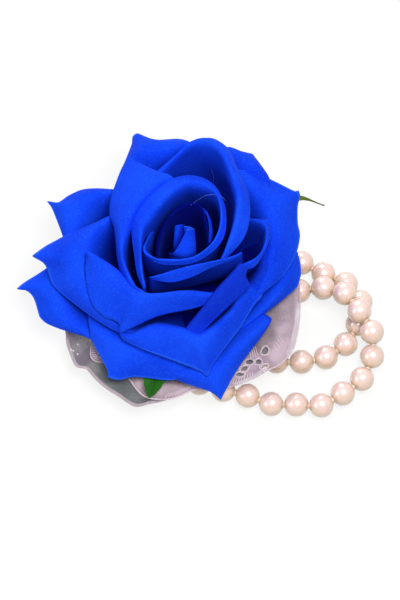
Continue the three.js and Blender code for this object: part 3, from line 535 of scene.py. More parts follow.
# a knot of a ridge or margin is azimuth, radius and height over the layer's hub, tip counts the pointed knot;
# wings are how many degrees the ends run on, out of sight, as they fall to the hub, deep adds painted shade;
# a lip sets the margin out from the ridge and over it where the margin has no knots of its own
petals = {
    "outerLeft": {
        "layer": "outer", "wings": (16, 14), "tip": 3,
        "ridge": [(172.5, 36.5, 7), (184.5, 40, 8), (196, 43, 7), (207.5, 41.5, 5), (217.5, 37.5, 3)],
        "margin": [(171.5, 38.5, 6), (179.5, 44.5, 4), (185, 52.5, 2.5), (187, 55, 2.5), (187.5, 52, 2),
                   (190.5, 50, 1.5), (196.5, 49.5, 1), (198.5, 49.5, 0.5), (202, 48, 0.5), (217.5, 38, 0)],
    },
    "outerFrontLeft": {
        "layer": "outer", "wings": (12, 12), "tip": 3,
        "ridge": [(213.5, 35, 6), (226.5, 35, 7), (240, 33.5, 7.5), (255.5, 32, 7), (272, 34, 5)],
        "margin": [(214, 36.5, 5), (219, 38.5, 3), (234.5, 42.5, -0.5), (236, 44, -1), (240.5, 43, -1),
                   (246, 40, -0.5), (264.5, 38, 0.5), (272.5, 35, 2.5)],
    },
    "outerFront": {
        "layer": "outer", "wings": (14, 2.5), "tip": 2,
        "ridge": [(264, 35.5, 3), (275, 37, 5), (286.5, 37.5, 6), (303, 33, 6), (325.5, 32.5, 5)],
        "margin": [(265, 37.5, 0.5), (281.5, 42.5, -0.5), (285, 46, -1), (299.5, 37, 0), (328.5, 33.5, 2)],
    },
    "outerRight": {
        "layer": "outer", "wings": (14, 16), "tip": 3,
        "ridge": [(313.5, 28, 6), (328, 29.5, 7), (343, 31.5, 7.5), (357.5, 32.5, 7), (11.5, 33, 7)],
        "margin": [(311.5, 29, 4.5), (329, 30.5, 3), (350.5, 37, 2), (357.5, 38, 2), (3, 38, 2.5),
                   (9, 37.5, 3.5), (13.5, 36, 5)],
    },
    "outerBackRight": {
        "layer": "outer", "wings": (16, 9), "tip": 2,
        "ridge": [(42.5, 35.5, 17), (52.5, 36, 20), (67.5, 36.5, 21)],
        "margin": [(44.5, 39, 14), (47.5, 40, 13.5), (59, 43.5, 13), (69.5, 38.5, 19)],
    },
    "outerBack": {
        "layer": "outer", "wings": (8, 9), "tip": 4,
        "ridge": [(134.5, 30, 17), (119.5, 34, 20), (107.5, 35.5, 22), (97, 35, 22), (88.5, 35, 20)],
        "margin": [(134, 32.5, 15), (126, 36, 14), (112.5, 44.5, 13), (111, 47, 13), (109, 47.5, 13),
                   (102.5, 42.5, 15.5), (92.5, 41, 17), (86.5, 39, 18)],
    },
    "outerBackLeft": {
        "layer": "outer", "wings": (10, 12), "tip": 2,
        "ridge": [(138, 28, 9), (150, 33, 10), (162, 34, 9), (172, 30, 6)],
        "margin": [(136, 30, 7), (146, 38, 5), (153, 44, 4), (162, 39, 4), (173, 33, 3)],
    },
    "middleBack": {
        "layer": "middle", "wings": (14, 14), "tip": 2,
        "ridge": [(100, 28, 12), (85, 33.5, 15), (68, 33.5, 16), (52, 29, 12)],
        "margin": [(102, 30, 9), (90, 36, 10), (76, 40, 10.5), (64, 36.5, 11), (50, 31, 9)],
    },
    "middleBackLeft": {
        "layer": "middle", "wings": (16, 18), "tip": 2,
        "ridge": [(169, 37, 11), (162, 38, 13), (154, 37.5, 15), (146.5, 34.5, 17), (135, 27.5, 19)],
        "margin": [(169.5, 39.5, 8), (155.5, 47.5, 8), (154, 50, 8), (153, 46.5, 8.5), (148.5, 44.5, 9.5),
                   (143, 41, 11), (131.5, 29.5, 16)],
    },
    "middleLeft": {
        "layer": "middle", "wings": (16, 14), "tip": 2,
        "ridge": [(157.5, 25.5, 19), (170.5, 30.5, 19), (184.5, 33, 18), (199.5, 34, 16), (216, 33, 14),
                  (233, 31, 11)],
        "margin": [(154.5, 27, 18), (171.5, 44, 8.5), (177.5, 49.5, 8), (180.5, 45.5, 8), (191.5, 43, 8),
                   (223.5, 33.5, 8), (234, 32, 8)],
    },
    "middleRight": {
        "layer": "middle", "wings": (6, 14), "tip": 4,
        "ridge": [(55.5, 30.5, 20), (38, 30.5, 19), (21.5, 30, 18), (4.5, 29, 16), (332.5, 27, 12)],
        "margin": [(58.5, 32, 20), (51.5, 36, 17), (46, 38.5, 14), (34, 43.5, 10.5), (33.5, 45, 10),
                   (31.5, 44.5, 10), (28, 42, 9), (20.5, 39.5, 8.5), (14.5, 39, 8), (5, 36.5, 8),
                   (352.5, 33, 9), (336.5, 28.5, 10)],
    },
    "middleFrontRight": {
        "layer": "middle", "wings": (12, 9), "deep": 0.28, "tip": 2,
        "ridge": [(311, 21.5, 10.5), (328.5, 22.8, 12.5), (347.5, 25, 15), (7.5, 25, 15)],
        "margin": [(309, 23, 8.5), (335, 28, 9.8), (348, 30.5, 10), (350, 29.5, 11), (358.5, 28, 12),
                   (9.5, 26.5, 14)],
    },
    "middleFront": {
        "layer": "middle", "wings": (13, 6), "tip": 2,
        "ridge": [(236, 32.5, 11), (250, 27.5, 14), (269, 28, 16), (280.5, 31, 16), (305, 26, 16),
                  (320, 23.6, 15.5), (332, 23.6, 14.5)],
        "margin": [(236.5, 34, 9), (278.5, 38, 5.5), (281, 40, 5), (285, 36.5, 5.5), (306, 30, 8.5),
                   (324, 28, 10.8), (331, 28.8, 12.3)],
    },
    "innerFrontLeft": {
        "layer": "inner", "tip": 5,
        "ridge": [(185, 30.5, 20), (199.5, 25, 22), (234.5, 22.5, 23.5), (274, 17, 22), (299, 19, 19)],
        "margin": [(185, 31, 19), (194.5, 32.5, 17), (210.5, 34.5, 15), (220.5, 34, 14), (229, 32, 13),
                   (233.5, 34, 12.5), (246.5, 25, 14), (281, 20.5, 16), (294, 20.5, 17.5),
                   (299, 19.5, 18.5)],
    },
    # painted shade: this petal takes the darker copy of the petal finish
    "innerFrontRight": {
        "layer": "inner", "wings": (0, 7), "deep": 0.16, "shadedCopy": True, "tip": 2,
        "ridge": [(270.5, 27, 13), (298, 20, 20.5), (334, 19.5, 23.5)],
        "margin": [(276, 29.5, 10.5), (318, 24.5, 18), (327.5, 25.5, 19), (330, 23, 21),
                   (334.5, 22.5, 22.5)],
    },
    "innerRight": {
        "layer": "inner", "wings": (0, 10), "tip": 4,
        "ridge": [(337, 19.5, 20), (351.5, 25, 22), (8, 26.5, 23), (15, 25, 22.5), (22, 22.5, 20),
                  (30, 20.5, 15)],
        "margin": [(336, 20.5, 19), (344, 24, 19), (3, 27.5, 20), (12, 28.5, 21), (17, 28.5, 21.5),
                   (20, 25.5, 20.5), (24, 23.5, 19), (30, 21.5, 14.5)],
    },
    "innerBackRight": {
        "layer": "inner", "wings": (10, 0), "tip": 4,
        "ridge": [(125, 21.5, 25.5), (115, 22.8, 25.8), (106.5, 24, 26.2), (95, 27.5, 27),
                  (85.5, 31.5, 28.5), (76, 32.5, 29.5), (66.5, 30, 30.5), (39, 21.5, 31), (19, 17.5, 30.5),
                  (340, 14.5, 28), (327, 14.2, 24.6)],
        "margin": [(125, 23, 24.5), (116, 25, 24.5), (108.5, 26.5, 24.4), (95.5, 30, 25), (85, 34.5, 26),
                   (75.5, 37, 25.5), (64.5, 34.5, 26), (51, 28.5, 27), (34, 25, 27.5), (16, 22, 27),
                   (358, 19, 26.5), (327, 14.5, 24)],
    },
    "innerLeft": {
        "layer": "inner", "wings": (14, 14), "tip": 2,
        "ridge": [(101, 20, 28), (121, 19.5, 28.5), (160, 18, 28), (197, 20.5, 26), (225.5, 22.5, 24),
                  (236, 22, 23)],
        "margin": [(101, 22, 26.5), (114.5, 28.5, 24), (120.5, 36, 21), (131, 32.5, 20), (153, 27, 19.5),
                   (164.5, 23.5, 19.5), (207, 22.5, 20.5), (224, 23, 21), (236, 22, 22)],
    },
    "wrapFront": {
        "layer": "wrap", "wings": (9, 0),
        "ridge": [(232, 16.8, 22.4), (241, 14.6, 24.2), (253, 12.4, 25.3), (296, 10.9, 25.4),
                  (320, 13, 24.6), (336, 16.4, 23.4), (347, 19, 22)],
        "margin": [(232, 16.9, 22.2), (249, 15.6, 22.4), (260, 14.7, 22.4), (282, 13, 22.5),
                   (303, 12.5, 22.6), (320, 13.8, 22.7), (335, 16.6, 22.6), (346, 19, 21.6)],
    },
    "wrapRing": {
        "layer": "wrap",
        "ridge": [(130, 13, 14), (185, 12, 23), (204, 13.5, 25), (226, 11.5, 25.5), (292, 8.5, 26.5),
                  (2, 11, 27.5), (51, 16.5, 29), (83, 16.5, 29.2), (104, 14, 28.8), (130, 11.8, 28.2),
                  (152, 11.6, 27.8), (175, 13, 27.6), (219, 17, 25), (233, 20.5, 22)],
        "margin": [(130, 13.5, 13.6), (183, 12.5, 22.4), (202, 14.1, 24.1), (225, 12.2, 24.4),
                   (255, 9.7, 24.8), (292, 9.4, 25.1), (334, 10.8, 25.2), (2, 13, 25.8), (31, 15.9, 26.4),
                   (50, 18.5, 27), (66, 20.5, 27), (83, 21, 27), (101, 20, 27), (128, 18.8, 26),
                   (144, 18.5, 25.5), (165, 17.5, 25), (215, 18.5, 22.5), (233, 21, 21)],
    },
    "wrapInner": {
        "layer": "roll",
        "ridge": [(190, 8.6, 13), (168, 8.3, 15.5), (146, 8.6, 18), (128, 9.2, 19.8), (110, 10.1, 21.2),
                  (95, 11.2, 22.3), (79, 12.2, 23), (67, 12.3, 23), (56, 11.2, 22.5), (40, 9.2, 21.4),
                  (20, 8.2, 19.5), (2, 8, 17)],
        "lip": (0.5, -0.4),
    },
    "wrapSliver": {
        "layer": "sliver",
        "ridge": [(62, 12.4, 21.5), (50, 11.4, 22.2), (36, 9.8, 22), (18, 8.6, 21), (2, 8.2, 19)],
        "margin": [(61, 12.5, 21.3), (47, 11.9, 21.8), (33, 10.7, 21.5), (15, 9.4, 20.5), (2, 8.5, 18.8)],
    },
}


def winged(knots, wings):
    # each end runs on by its wing in degrees and falls to the hub in a round shoulder
    runs = []
    ends = ((knots[0], knots[1], wings[0]), (knots[-1], knots[-2], wings[1]))
    for (azimuth, radius, height), before, wing in ends:
        side = math.copysign(wing, (azimuth - before[0] + 180) % 360 - 180)
        steps = shoulder if wing else ()
        runs.append([(azimuth + side * share, radius * near, height * low) for share, near, low in steps])
    return runs[0][::-1] + list(knots) + runs[1]


def makePetal(name, spec, seed):
    layer = layers[spec["layer"]]
    hub = layer["hub"]
    middle = np.array(layer["middle"])
    wings = spec.get("wings", (0, 0))
    tip = spec["tip"] + len(shoulder) * (wings[0] > 0) if "tip" in spec else 0
    ridge = smoothLine(fromPolar(winged(spec["ridge"], wings), hub), petalSet["across"])
    lip = (0, *spec.get("lip", (0, 0)))
    margin = winged(spec.get("margin", spec["ridge"]), wings)
    margin = pointedLine(fromPolar(margin + np.array(lip), hub), tip, petalSet["across"])
    outward = unit(ridge[:, :2] - middle)
    foot = np.c_[middle + outward * layer["footRadius"], np.full(len(ridge), hub + petalSet["footRise"])]
    wide, tall = layer["belly"]
    belly = foot + (ridge - foot) * np.array([wide, wide, tall])
    keys = np.stack([foot, belly, ridge, margin])
    knots = [0, petalSet["bellyAt"], petalSet["ridgeAt"], 1]
    grid = hermite(keys, knots, np.linspace(0, 1, petalSet["along"]))
    grid = crumpled(grid, petalSet["waves"], petalSet["pitch"], seed)
    # painted shade: the darker copy of the petal finish where a petal asks for it
    finish = finishes["shadedPetal" if spec.get("shadedCopy") else "petal"]
    # painted shade: a larger deep darkens more of the petal
    deep = spec.get("deep", layer["deep"])
    piece = sheetObject("petal_" + name, grid, petalSet["thickness"], finish, deep=deep)
    settle(piece, layer["node"])


for count, (petalName, petalSpec) in enumerate(petals.items()):
    makePetal(petalName, petalSpec, petalSet["seedStep"] * count)
print("rose petals:", len(petals))

# bud core: rows are share of the way up, middle's Y, half width, half depth and height

coreSet = {
    "rows": [(0.0, 0.2, 4.8, 4.8, 18.6), (0.5, 0.4, 4.3, 3.2, 30.0), (0.68, 1.2, 4.2, 3.2, 33.4),
             (1.0, 6.0, 3.5, 1.1, 38.6)],
    "start": 272.0, "sweep": (530.0, 346.0), "lap": 1.35, "lift": 0.5, "liftFrom": 0.85, "thinnest": 0.15,
    "backDrop": 2.6, "rightDrop": 2.4, "waves": (0.25, 5.0, 1.3), "thickness": 0.42,
    "across": 220, "along": 40, "insideShade": 0.75, "insideTo": 0.3,
}


def makeCore():
    # one petal rolled flat round the peg, its outer edge slanting down across the front
    rows = np.array(coreSet["rows"])
    turn = np.linspace(0, 1, coreSet["across"])
    lifted = np.clip((turn - coreSet["liftFrom"]) / (1 - coreSet["liftFrom"]), 0, 1) ** 2
    inward = coreSet["lap"] * (1 - turn) - coreSet["lift"] * lifted
    grid = []
    for v in np.linspace(0, 1, coreSet["along"]):
        middle, wide, deep, height = hermite(rows[:, 1:], rows[:, 0], np.array([v]))[0]
        sweep = coreSet["sweep"][0] + (coreSet["sweep"][1] - coreSet["sweep"][0]) * v
        angle = np.radians(coreSet["start"] - turn * sweep)
        x = (wide - inward) * np.cos(angle)
        y = middle + np.maximum(deep - inward, coreSet["thinnest"]) * np.sin(angle)
        right = np.maximum(np.cos(angle), 0) ** 2
        fall = coreSet["backDrop"] * (1 + np.sin(angle)) / 2 + coreSet["rightDrop"] * right
        grid.append(np.c_[x, y, height - fall * v**4])
    grid = crumpled(np.array(grid), *coreSet["waves"])
    # painted shade, darkest on the inner turn of the roll and gone by insideTo
    shade = coreSet["insideShade"] * np.clip(1 - turn / coreSet["insideTo"], 0, 1)
    piece = sheetObject("petal_core", grid, coreSet["thickness"], finishes["petal"], deep=shade)
    settle(piece, "bud_core")


makeCore()
print("bud core is rolled")

# what repeats, grown by Geometry Nodes


def newTree(name, inputs):
    tree = bpy.data.node_groups.new(name, "GeometryNodeTree")
    for label, kind in inputs.items():
        tree.interface.new_socket(label, in_out="INPUT", socket_type="NodeSocket" + kind)
    tree.interface.new_socket("Result", in_out="OUTPUT", socket_type="NodeSocketGeometry")
    return tree, addNode(tree, "NodeGroupInput").outputs


def endTree(tree, shape, finish):
    real = addNode(tree, "GeometryNodeRealizeInstances", {"Geometry": shape}).outputs["Geometry"]
    painted = addNode(tree, "GeometryNodeSetMaterial", {"Geometry": real, "Material": finish})
    addNode(tree, "NodeGroupOutput", {"Result": painted.outputs["Geometry"]})
    return tree


def placingTree():
    # sets a pattern on every place, turned along the place's thread
    inputs = {"Places": "Geometry", "Pattern": "Object", "Finish": "Material"}
    tree, given = newTree("patternOnPlaces", inputs)
    pattern = addNode(tree, "GeometryNodeObjectInfo", {"Object": given["Pattern"], "As Instance": True})
    thread = addNode(tree, "GeometryNodeInputNamedAttribute", {"Name": "thread"}, data_type="FLOAT_VECTOR")
    way = thread.outputs["Attribute"]
    turn = addNode(tree, "FunctionNodeAlignRotationToVector", {"Vector": way}, axis="Z")
    placed = addNode(tree, "GeometryNodeInstanceOnPoints", {
        "Points": given["Places"],
        "Instance": pattern.outputs["Geometry"],
        "Rotation": turn.outputs["Rotation"],
    })
    return endTree(tree, placed.outputs["Instances"], given["Finish"])


def cordTree():
    # a thin round cord along every line
    tree, given = newTree("cordAlongLines", {"Lines": "Geometry", "Radius": "Float", "Finish": "Material"})
    sides = {"Resolution": 6, "Radius": given["Radius"]}
    circle = addNode(tree, "GeometryNodeCurvePrimitiveCircle", sides).outputs["Curve"]
    inputs = {"Curve": given["Lines"], "Profile Curve": circle, "Fill Caps": True}
    swept = addNode(tree, "GeometryNodeCurveToMesh", inputs)
    return endTree(tree, swept.outputs["Mesh"], given["Finish"])


def grown(name, data, tree, settings):
    # what the tree makes of the data, as a plain mesh object
    holder = linked(name, data)
    modifier = holder.modifiers.new("growing", "NODES")
    modifier.node_group = tree
    for socket in tree.interface.items_tree:
        if socket.in_out == "INPUT" and socket.name in settings:
            modifier[socket.identifier] = settings[socket.name]
    graph = bpy.context.evaluated_depsgraph_get()
    mesh = bpy.data.meshes.new_from_object(holder.evaluated_get(graph))
    bpy.data.objects.remove(holder)
    mesh.name = name
    return linked(name, mesh)


def placePattern(name, pattern, places, threads, finish):
    mesh = bpy.data.meshes.new("places")
    mesh.from_pydata([tuple(p) for p in np.asarray(places) * mm], [], [])
    attribute = mesh.attributes.new("thread", "FLOAT_VECTOR", "POINT")
    attribute.data.foreach_set("vector", np.asarray(threads, float).ravel())
    return grown(name, mesh, placing, {"Pattern": pattern, "Finish": finish})


def sewLines(name, lines, radius, finish):
    curve = bpy.data.curves.new("lines", "CURVE")
    curve.dimensions = "3D"
    for line in lines:
        spline = curve.splines.new("POLY")
        spline.points.add(len(line) - 1)
        spline.points.foreach_set("co", np.c_[np.asarray(line) * mm, np.ones(len(line))].ravel())
    piece = grown(name, curve, sewing, {"Radius": radius * mm, "Finish": finish})
    piece.data.polygons.foreach_set("use_smooth", [True] * len(piece.data.polygons))
    return piece


def turnedPattern(name, profile, around):
    # a closed form turned about Z; the profile is radius and height
    turns = [2 * math.pi * k / around for k in range(around)]
    points = [(r * math.cos(a) * mm, r * math.sin(a) * mm, z * mm) for r, z in profile for a in turns]
    rings = np.arange(len(points)).reshape(-1, around)
    faces = cellsOf(rings, True)[..., [0, 3, 2, 1]].reshape(-1, 4).tolist()
    faces += [rings[0].tolist(), rings[-1, ::-1].tolist()]
    mesh = bpy.data.meshes.new(name)
    mesh.from_pydata(points, [], faces)
    mesh.polygons.foreach_set("use_smooth", [True] * len(mesh.polygons))
    return linked(name, mesh)


placing = placingTree()
sewing = cordTree()

# pearls

pearlSet = {"diameter": 8.0, "bore": 1.0, "boreDepth": 0.7, "boreTaper": 0.8, "around": 28, "rings": 16}
strands = {
    "a": {"count": 19, "start": [(0.0, -5.0, 5.0), (0.0, -8.0, 5.0), (0.0, -12.6, 4.6)],
          "end": [(4.6, 10.4, 4.8), (0.0, 8.0, 5.0), (0.0, 5.0, 5.0)]},
    "b": {"count": 17, "start": [(0.0, -5.0, 3.8), (0.0, -8.0, 3.8), (4.6, -10.4, 3.9)],
          "end": [(0.0, 12.6, 4.2), (0.0, 8.0, 3.8), (0.0, 5.0, 3.8)]},
}


def pearlPlaces(name, spec):
    spec["nodes"] = [f"pearl_{name}_{i:02d}" for i in range(1, spec["count"] + 1)]
    spec["pearls"] = [sum((Vector(c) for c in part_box(node)), Vector()) / 2 / mm for node in spec["nodes"]]
    path = np.array(spec["start"] + [tuple(p) for p in spec["pearls"]] + spec["end"])
    first = len(spec["start"])
    last = first + spec["count"]
    spec["path"] = path
    spec["threads"] = unit(path[first + 1 : last + 1] - path[first - 1 : last - 1])


def pearlPattern():
    # a bead drilled along Z
    radius = pearlSet["diameter"] / 2
    bore = pearlSet["bore"] / 2
    rim = math.asin(bore / radius)
    angles = np.linspace(rim, math.pi - rim, pearlSet["rings"])
    arc = [(radius * math.sin(a), radius * math.cos(a)) for a in angles]
    hole = bore * pearlSet["boreTaper"]
    depth = radius * math.cos(rim) - pearlSet["boreDepth"]
    return turnedPattern("pearlPattern", [(hole, depth)] + arc + [(hole, -depth)], pearlSet["around"])


def makePearls(pattern, strand, spec):
    spec["pieces"] = []
    for body, members in frame["record"]["behaviour"]["bodies"].items():
        chosen = [i for i, node in enumerate(spec["nodes"]) if node in members]
        if not chosen:
            continue
        places = [spec["pearls"][i] for i in chosen]
        ways = [spec["threads"][i] for i in chosen]
        piece = placePattern(f"pearls_{strand}_{body}", pattern, places, ways, finishes["pearl"])
        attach(piece, body)
        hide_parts(*[spec["nodes"][i] for i in chosen])
        spec["pieces"].append(piece)
    print("pearls on strand", strand, spec["count"])


bead = pearlPattern()
for strandName, strandSpec in strands.items():
    pearlPlaces(strandName, strandSpec)
    makePearls(bead, strandName, strandSpec)
bpy.data.objects.remove(bead)

# elastics: a thin link shows between two pearls

elasticSet = {
    "radius": 0.42, "link": 1.15, "linkLength": 0.34, "steps": 900, "pathStep": 6, "around": 8,
    "still": 10.0, "moved": 52.0,
}


def tubeGrid(line, radius, around):
    # a round tube along a line, with its frame carried along without twist
    ahead = unit(np.gradient(line, axis=0))
    side = np.cross(ahead[0], (0, 0, 1))
    turn = np.linspace(0, 2 * math.pi, around, endpoint=False)[:, None]
    rows = []
    for place, way, r in zip(line, ahead, radius):
        side = unit(side - way * side.dot(way))
        up = np.cross(side, way)
        rows.append(place + r * (np.cos(turn) * side + np.sin(turn) * up))
    return np.array(rows)


def capTube(piece, around):
    # closes both ends of a tube
    mesh = piece.data
    last = len(mesh.vertices) - around
    form = bmesh.new()
    form.from_mesh(mesh)
    form.verts.ensure_lookup_table()
    form.faces.new([form.verts[i] for i in reversed(range(around))])
    form.faces.new([form.verts[last + i] for i in range(around)])
    bmesh.ops.recalc_face_normals(form, faces=form.faces)
    form.to_mesh(mesh)
    form.free()


def makeElastic(strand, spec):
    first = len(spec["start"])
    knots = lengthsAlong(spec["path"])
    along = np.linspace(0, knots[-1], elasticSet["steps"])
    line = hermite(spec["path"], knots, along)
    radius = np.full(len(along), elasticSet["radius"])
    for i in range(first, first + spec["count"] - 1):
        gap = (along - (knots[i] + knots[i + 1]) / 2) / elasticSet["linkLength"]
        radius += (elasticSet["link"] - elasticSet["radius"]) * np.exp(-(gap**4))
    grid = tubeGrid(line, radius, elasticSet["around"])
    piece = sheetObject("elastic_" + strand + "_thread", grid, 0, finishes["elastic"], True)
    capTube(piece, elasticSet["around"])
    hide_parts("elastic_" + strand)
    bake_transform(piece)


for strandName, strandSpec in strands.items():
    makeElastic(strandName, strandSpec)

# gathered ruffles: rim knots are azimuth, radius and height, glints are azimuth and mm in from the rim

ruffles = {
    "organza": {
        "hub": 9.3, "columns": 480, "rows": 30,
        "hem": {"length": 1.3, "width": 0.34, "pitch": 0.3, "finish": "greyHemThread"},
        "glints": [(213.6, 0.9), (214.4, 1.4), (216.6, 2.4), (213.3, 3.7), (266.0, 3.4), (269.0, 3.2)],
        "rim": [(0, 36, 12.2), (45, 35.5, 12.3), (90, 35.5, 11.2), (135, 35.5, 9.4), (175, 38, 8.0),
                (206, 43, 7.6), (211, 44.6, 7.6), (216, 45.8, 7.6), (221, 46.8, 7.6), (225, 45.2, 7.6),
                (229, 45.3, 7.7), (235, 46, 7.8), (242, 46.4, 8.0), (250, 47.7, 8.2), (256, 46.2, 8.4),
                (264, 42.8, 8.8), (275, 39.2, 9.2), (290, 40.2, 9.8), (300, 41, 10.2), (311, 42, 10.6),
                (322, 42.2, 11), (330, 40.6, 11.3), (345, 38, 11.8)],
    },
    "lace": {
        "hub": 10.3, "fine": (36.0, 66), "coarse": 32, "rows": (24, 26), "fineFrom": 0.76,
        "hem": {"length": 0.62, "width": 0.28, "pitch": 0.3, "finish": "pinkThread"},
        "rim": [(0, 37.6, 13.1), (45, 36, 13.4), (90, 35, 12.4), (135, 34, 10.6), (175, 35, 9.2),
                (206, 36.5, 8.8), (216, 38, 8.7), (222, 41.5, 8.7), (226, 41.5, 8.7), (231, 38.5, 8.8),
                (238, 38, 9.0), (243, 40, 9.1), (249, 42.9, 9.3), (255, 44.8, 9.5), (260, 44.2, 9.7),
                (266, 42.8, 9.9), (273, 40.6, 10.2), (289, 42.0, 10.9), (299, 42.6, 11.2), (311, 44.2, 11.6),
                (322, 44.6, 12.0), (330, 42.6, 12.3), (338, 40.9, 12.5), (346, 39.5, 12.8)],
    },
}
# waves are count, phase and size, and the first also sways sideways
ruffleSet = {
    "waves": ((13, 0.4, 0.6), (21, 1.9, 0.4), (34, 0.7, 0.22)), "sway": 0.012, "rise": 1.3, "waveRise": 1.5,
    "foot": 2.6, "thickness": 0.12, "flatShare": 0.70,
}


def rufflePoints(spec, azimuth, share):
    # azimuth in degrees, share from the gathered foot to the rim
    azimuth = np.asarray(azimuth, float) % 360
    knots = np.array(spec["rim"], float)
    knots = np.vstack([knots[-2:] - (360, 0, 0), knots, knots[:2] + (360, 0, 0)])
    rim = hermite(knots[:, 1:], knots[:, 0], azimuth.ravel()).reshape(azimuth.shape + (2,))
    turn = np.radians(azimuth)
    wave = sum(size * np.sin(count * turn + phase) for count, phase, size in ruffleSet["waves"])
    radius = ruffleSet["foot"] + (rim[..., 0] - ruffleSet["foot"]) * share
    height = spec["hub"] + (rim[..., 1] - spec["hub"]) * share ** ruffleSet["rise"]
    height = height + wave * share ** ruffleSet["waveRise"]
    count, phase = ruffleSet["waves"][0][:2]
    turn = turn + ruffleSet["sway"] * np.cos(count * turn + phase) * share
    return np.stack([radius * np.cos(turn), radius * np.sin(turn), height], axis=-1)


def ruffleWidth(spec, azimuths):
    # from the foot to the rim
    rim = rufflePoints(spec, azimuths, np.ones_like(azimuths))
    return np.linalg.norm(rim[..., :2], axis=-1) - ruffleSet["foot"]


def ruffleLine(spec, azimuths, inset, lift):
    # a line on the ruffle, inset mm from its rim and lifted off it
    azimuths, inset = np.broadcast_arrays(np.asarray(azimuths, float), np.asarray(inset, float))
    points = rufflePoints(spec, azimuths, 1 - inset / ruffleWidth(spec, azimuths))
    points[..., 2] += lift
    return points


stitchSet = {"rings": 5, "sides": 6}
hemSet = {"steps": 2881, "inset": 0.4, "lift": 0.02, "slant": 0.15}


def sewStitches(name, length, width, places, ways, finish, slot):
    angles = [math.pi * (i + 0.5) / stitchSet["rings"] for i in range(stitchSet["rings"])]
    profile = [(width / 2 * math.sin(a), length / 2 * math.cos(a)) for a in angles]
    pattern = turnedPattern("stitchPattern", profile, stitchSet["sides"])
    piece = placePattern(name, pattern, places, ways, finish)
    bpy.data.objects.remove(pattern)
    settle(piece)
    return piece


def makeHem(name, spec):
    # satin stitches side by side along the rim, each laid across it
    stitch = spec["hem"]
    inset = stitch["length"] * hemSet["inset"]
    steps = np.linspace(0, 360, hemSet["steps"])
    lengths = lengthsAlong(ruffleLine(spec, steps, inset, 0))
    count = int(lengths[-1] / stitch["pitch"])
    azimuths = np.interp(np.arange(count) * lengths[-1] / count, lengths, steps)
    places = ruffleLine(spec, azimuths, inset, hemSet["lift"])
    inner = ruffleLine(spec, azimuths + hemSet["slant"], stitch["length"], 0)
    ways = ruffleLine(spec, azimuths, 0, 0) - inner
    finish = finishes[stitch["finish"]]
    return sewStitches(name + "_hem", stitch["length"], stitch["width"], places, ways, finish, name)


# embroidery: eyelets are mm along the rim from a repeat's middle, mm in from it, two half sizes and a tilt;
# a ring lies outside its eyelet by its first value and waves by the second
motifSet = {
    "first": 306.0, "repeats": 5, "degrees": 1.43, "radius": 0.13, "lift": 0.12,
    "eyelets": [(1.6, 1.9, 1.35, 0.65, 8), (1.2, 4.4, 1.1, 0.9, 30), (-1.3, 5.9, 1.25, 0.85, -20),
                (-4.0, 4.5, 1.3, 0.75, 15), (-6.0, 3.2, 1.2, 0.75, -12), (6.3, 6.9, 1.7, 1.0, 25)],
    "rings": ((0.08, 0.0), (0.42, 0.12)), "ringSteps": 36, "ringWaves": 3,
    "bars": {"at": (0.9, 8.4), "count": 4, "step": 0.95, "reach": (1.1, 1.7), "bow": 0.15},
    "strokes": {"at": (9.4, 5.2), "count": 4, "step": 1.1, "reach": (0.5, 1.2), "bow": 0.15},
    "ladder": {"from": -30.0, "to": -2.5, "step": 0.85, "insets": (0.9, 2.3), "slant": 0.45},
}
motifPitch = 360 / motifSet["repeats"]
motifAzimuths = [motifSet["first"] + motifPitch * k for k in range(motifSet["repeats"])]
glintSet = {"reach": 0.25, "lift": 0.16, "radius": 0.3}


def tilted(x, y, degrees):
    c = math.cos(math.radians(degrees))
    s = math.sin(math.radians(degrees))
    return c * x - s * y, s * x + c * y


def motifLines():
    # lines of mm along the rim and mm in from it
    lines = []
    turn = np.linspace(0, 2 * math.pi, motifSet["ringSteps"])
    for along, inset, wide, tall, tilt in motifSet["eyelets"]:
        for more, wavy in motifSet["rings"]:
            reach = 1 + wavy * np.sin(motifSet["ringWaves"] * turn + along)
            x = (wide + more) * reach * np.cos(turn)
            y = (tall + more) * reach * np.sin(turn)
            lines.append(np.stack(tilted(x, y, tilt), axis=1) + (along, inset))
    for spec in (motifSet["bars"], motifSet["strokes"]):
        along, inset = spec["at"]
        wide, tall = spec["reach"]
        bar = np.array([(-wide, inset - tall), (0, inset + spec["bow"]), (wide, inset + tall)])
        lines += [bar + (along + spec["step"] * k, 0) for k in range(spec["count"])]
    ladder = motifSet["ladder"]
    rung = np.c_[(-ladder["slant"], ladder["slant"]), ladder["insets"]]
    lines += [rung + (along, 0) for along in np.arange(ladder["from"], ladder["to"], ladder["step"])]
    return lines


def makeEmbroidery(spec):
    lines = []
    for azimuth in motifAzimuths:
        for line in motifLines():
            azimuths = azimuth + line[:, 0] * motifSet["degrees"]
            lines.append(ruffleLine(spec, azimuths, line[:, 1], motifSet["lift"]))
    piece = sewLines("lace_embroidery", lines, motifSet["radius"], finishes["pinkThread"])
    settle(piece)
    return piece


def makeGlints(spec):
    # painted glints: small white beads where light glints on the organza
    half = glintSet["reach"]
    lines = [ruffleLine(spec, [a - half, a + half], inset, glintSet["lift"]) for a, inset in spec["glints"]]
    piece = sewLines("organza_sequins", lines, glintSet["radius"], finishes["whiteGlint"])
    settle(piece)
    return piece


def makeOrganza(spec):
    turns = np.linspace(0, 360, spec["columns"], endpoint=False)
    grid = rufflePoints(spec, *np.meshgrid(turns, np.linspace(0, 1, spec["rows"])))
    return sheetObject("organza_flounce", grid, ruffleSet["thickness"], finishes["organza"], True)


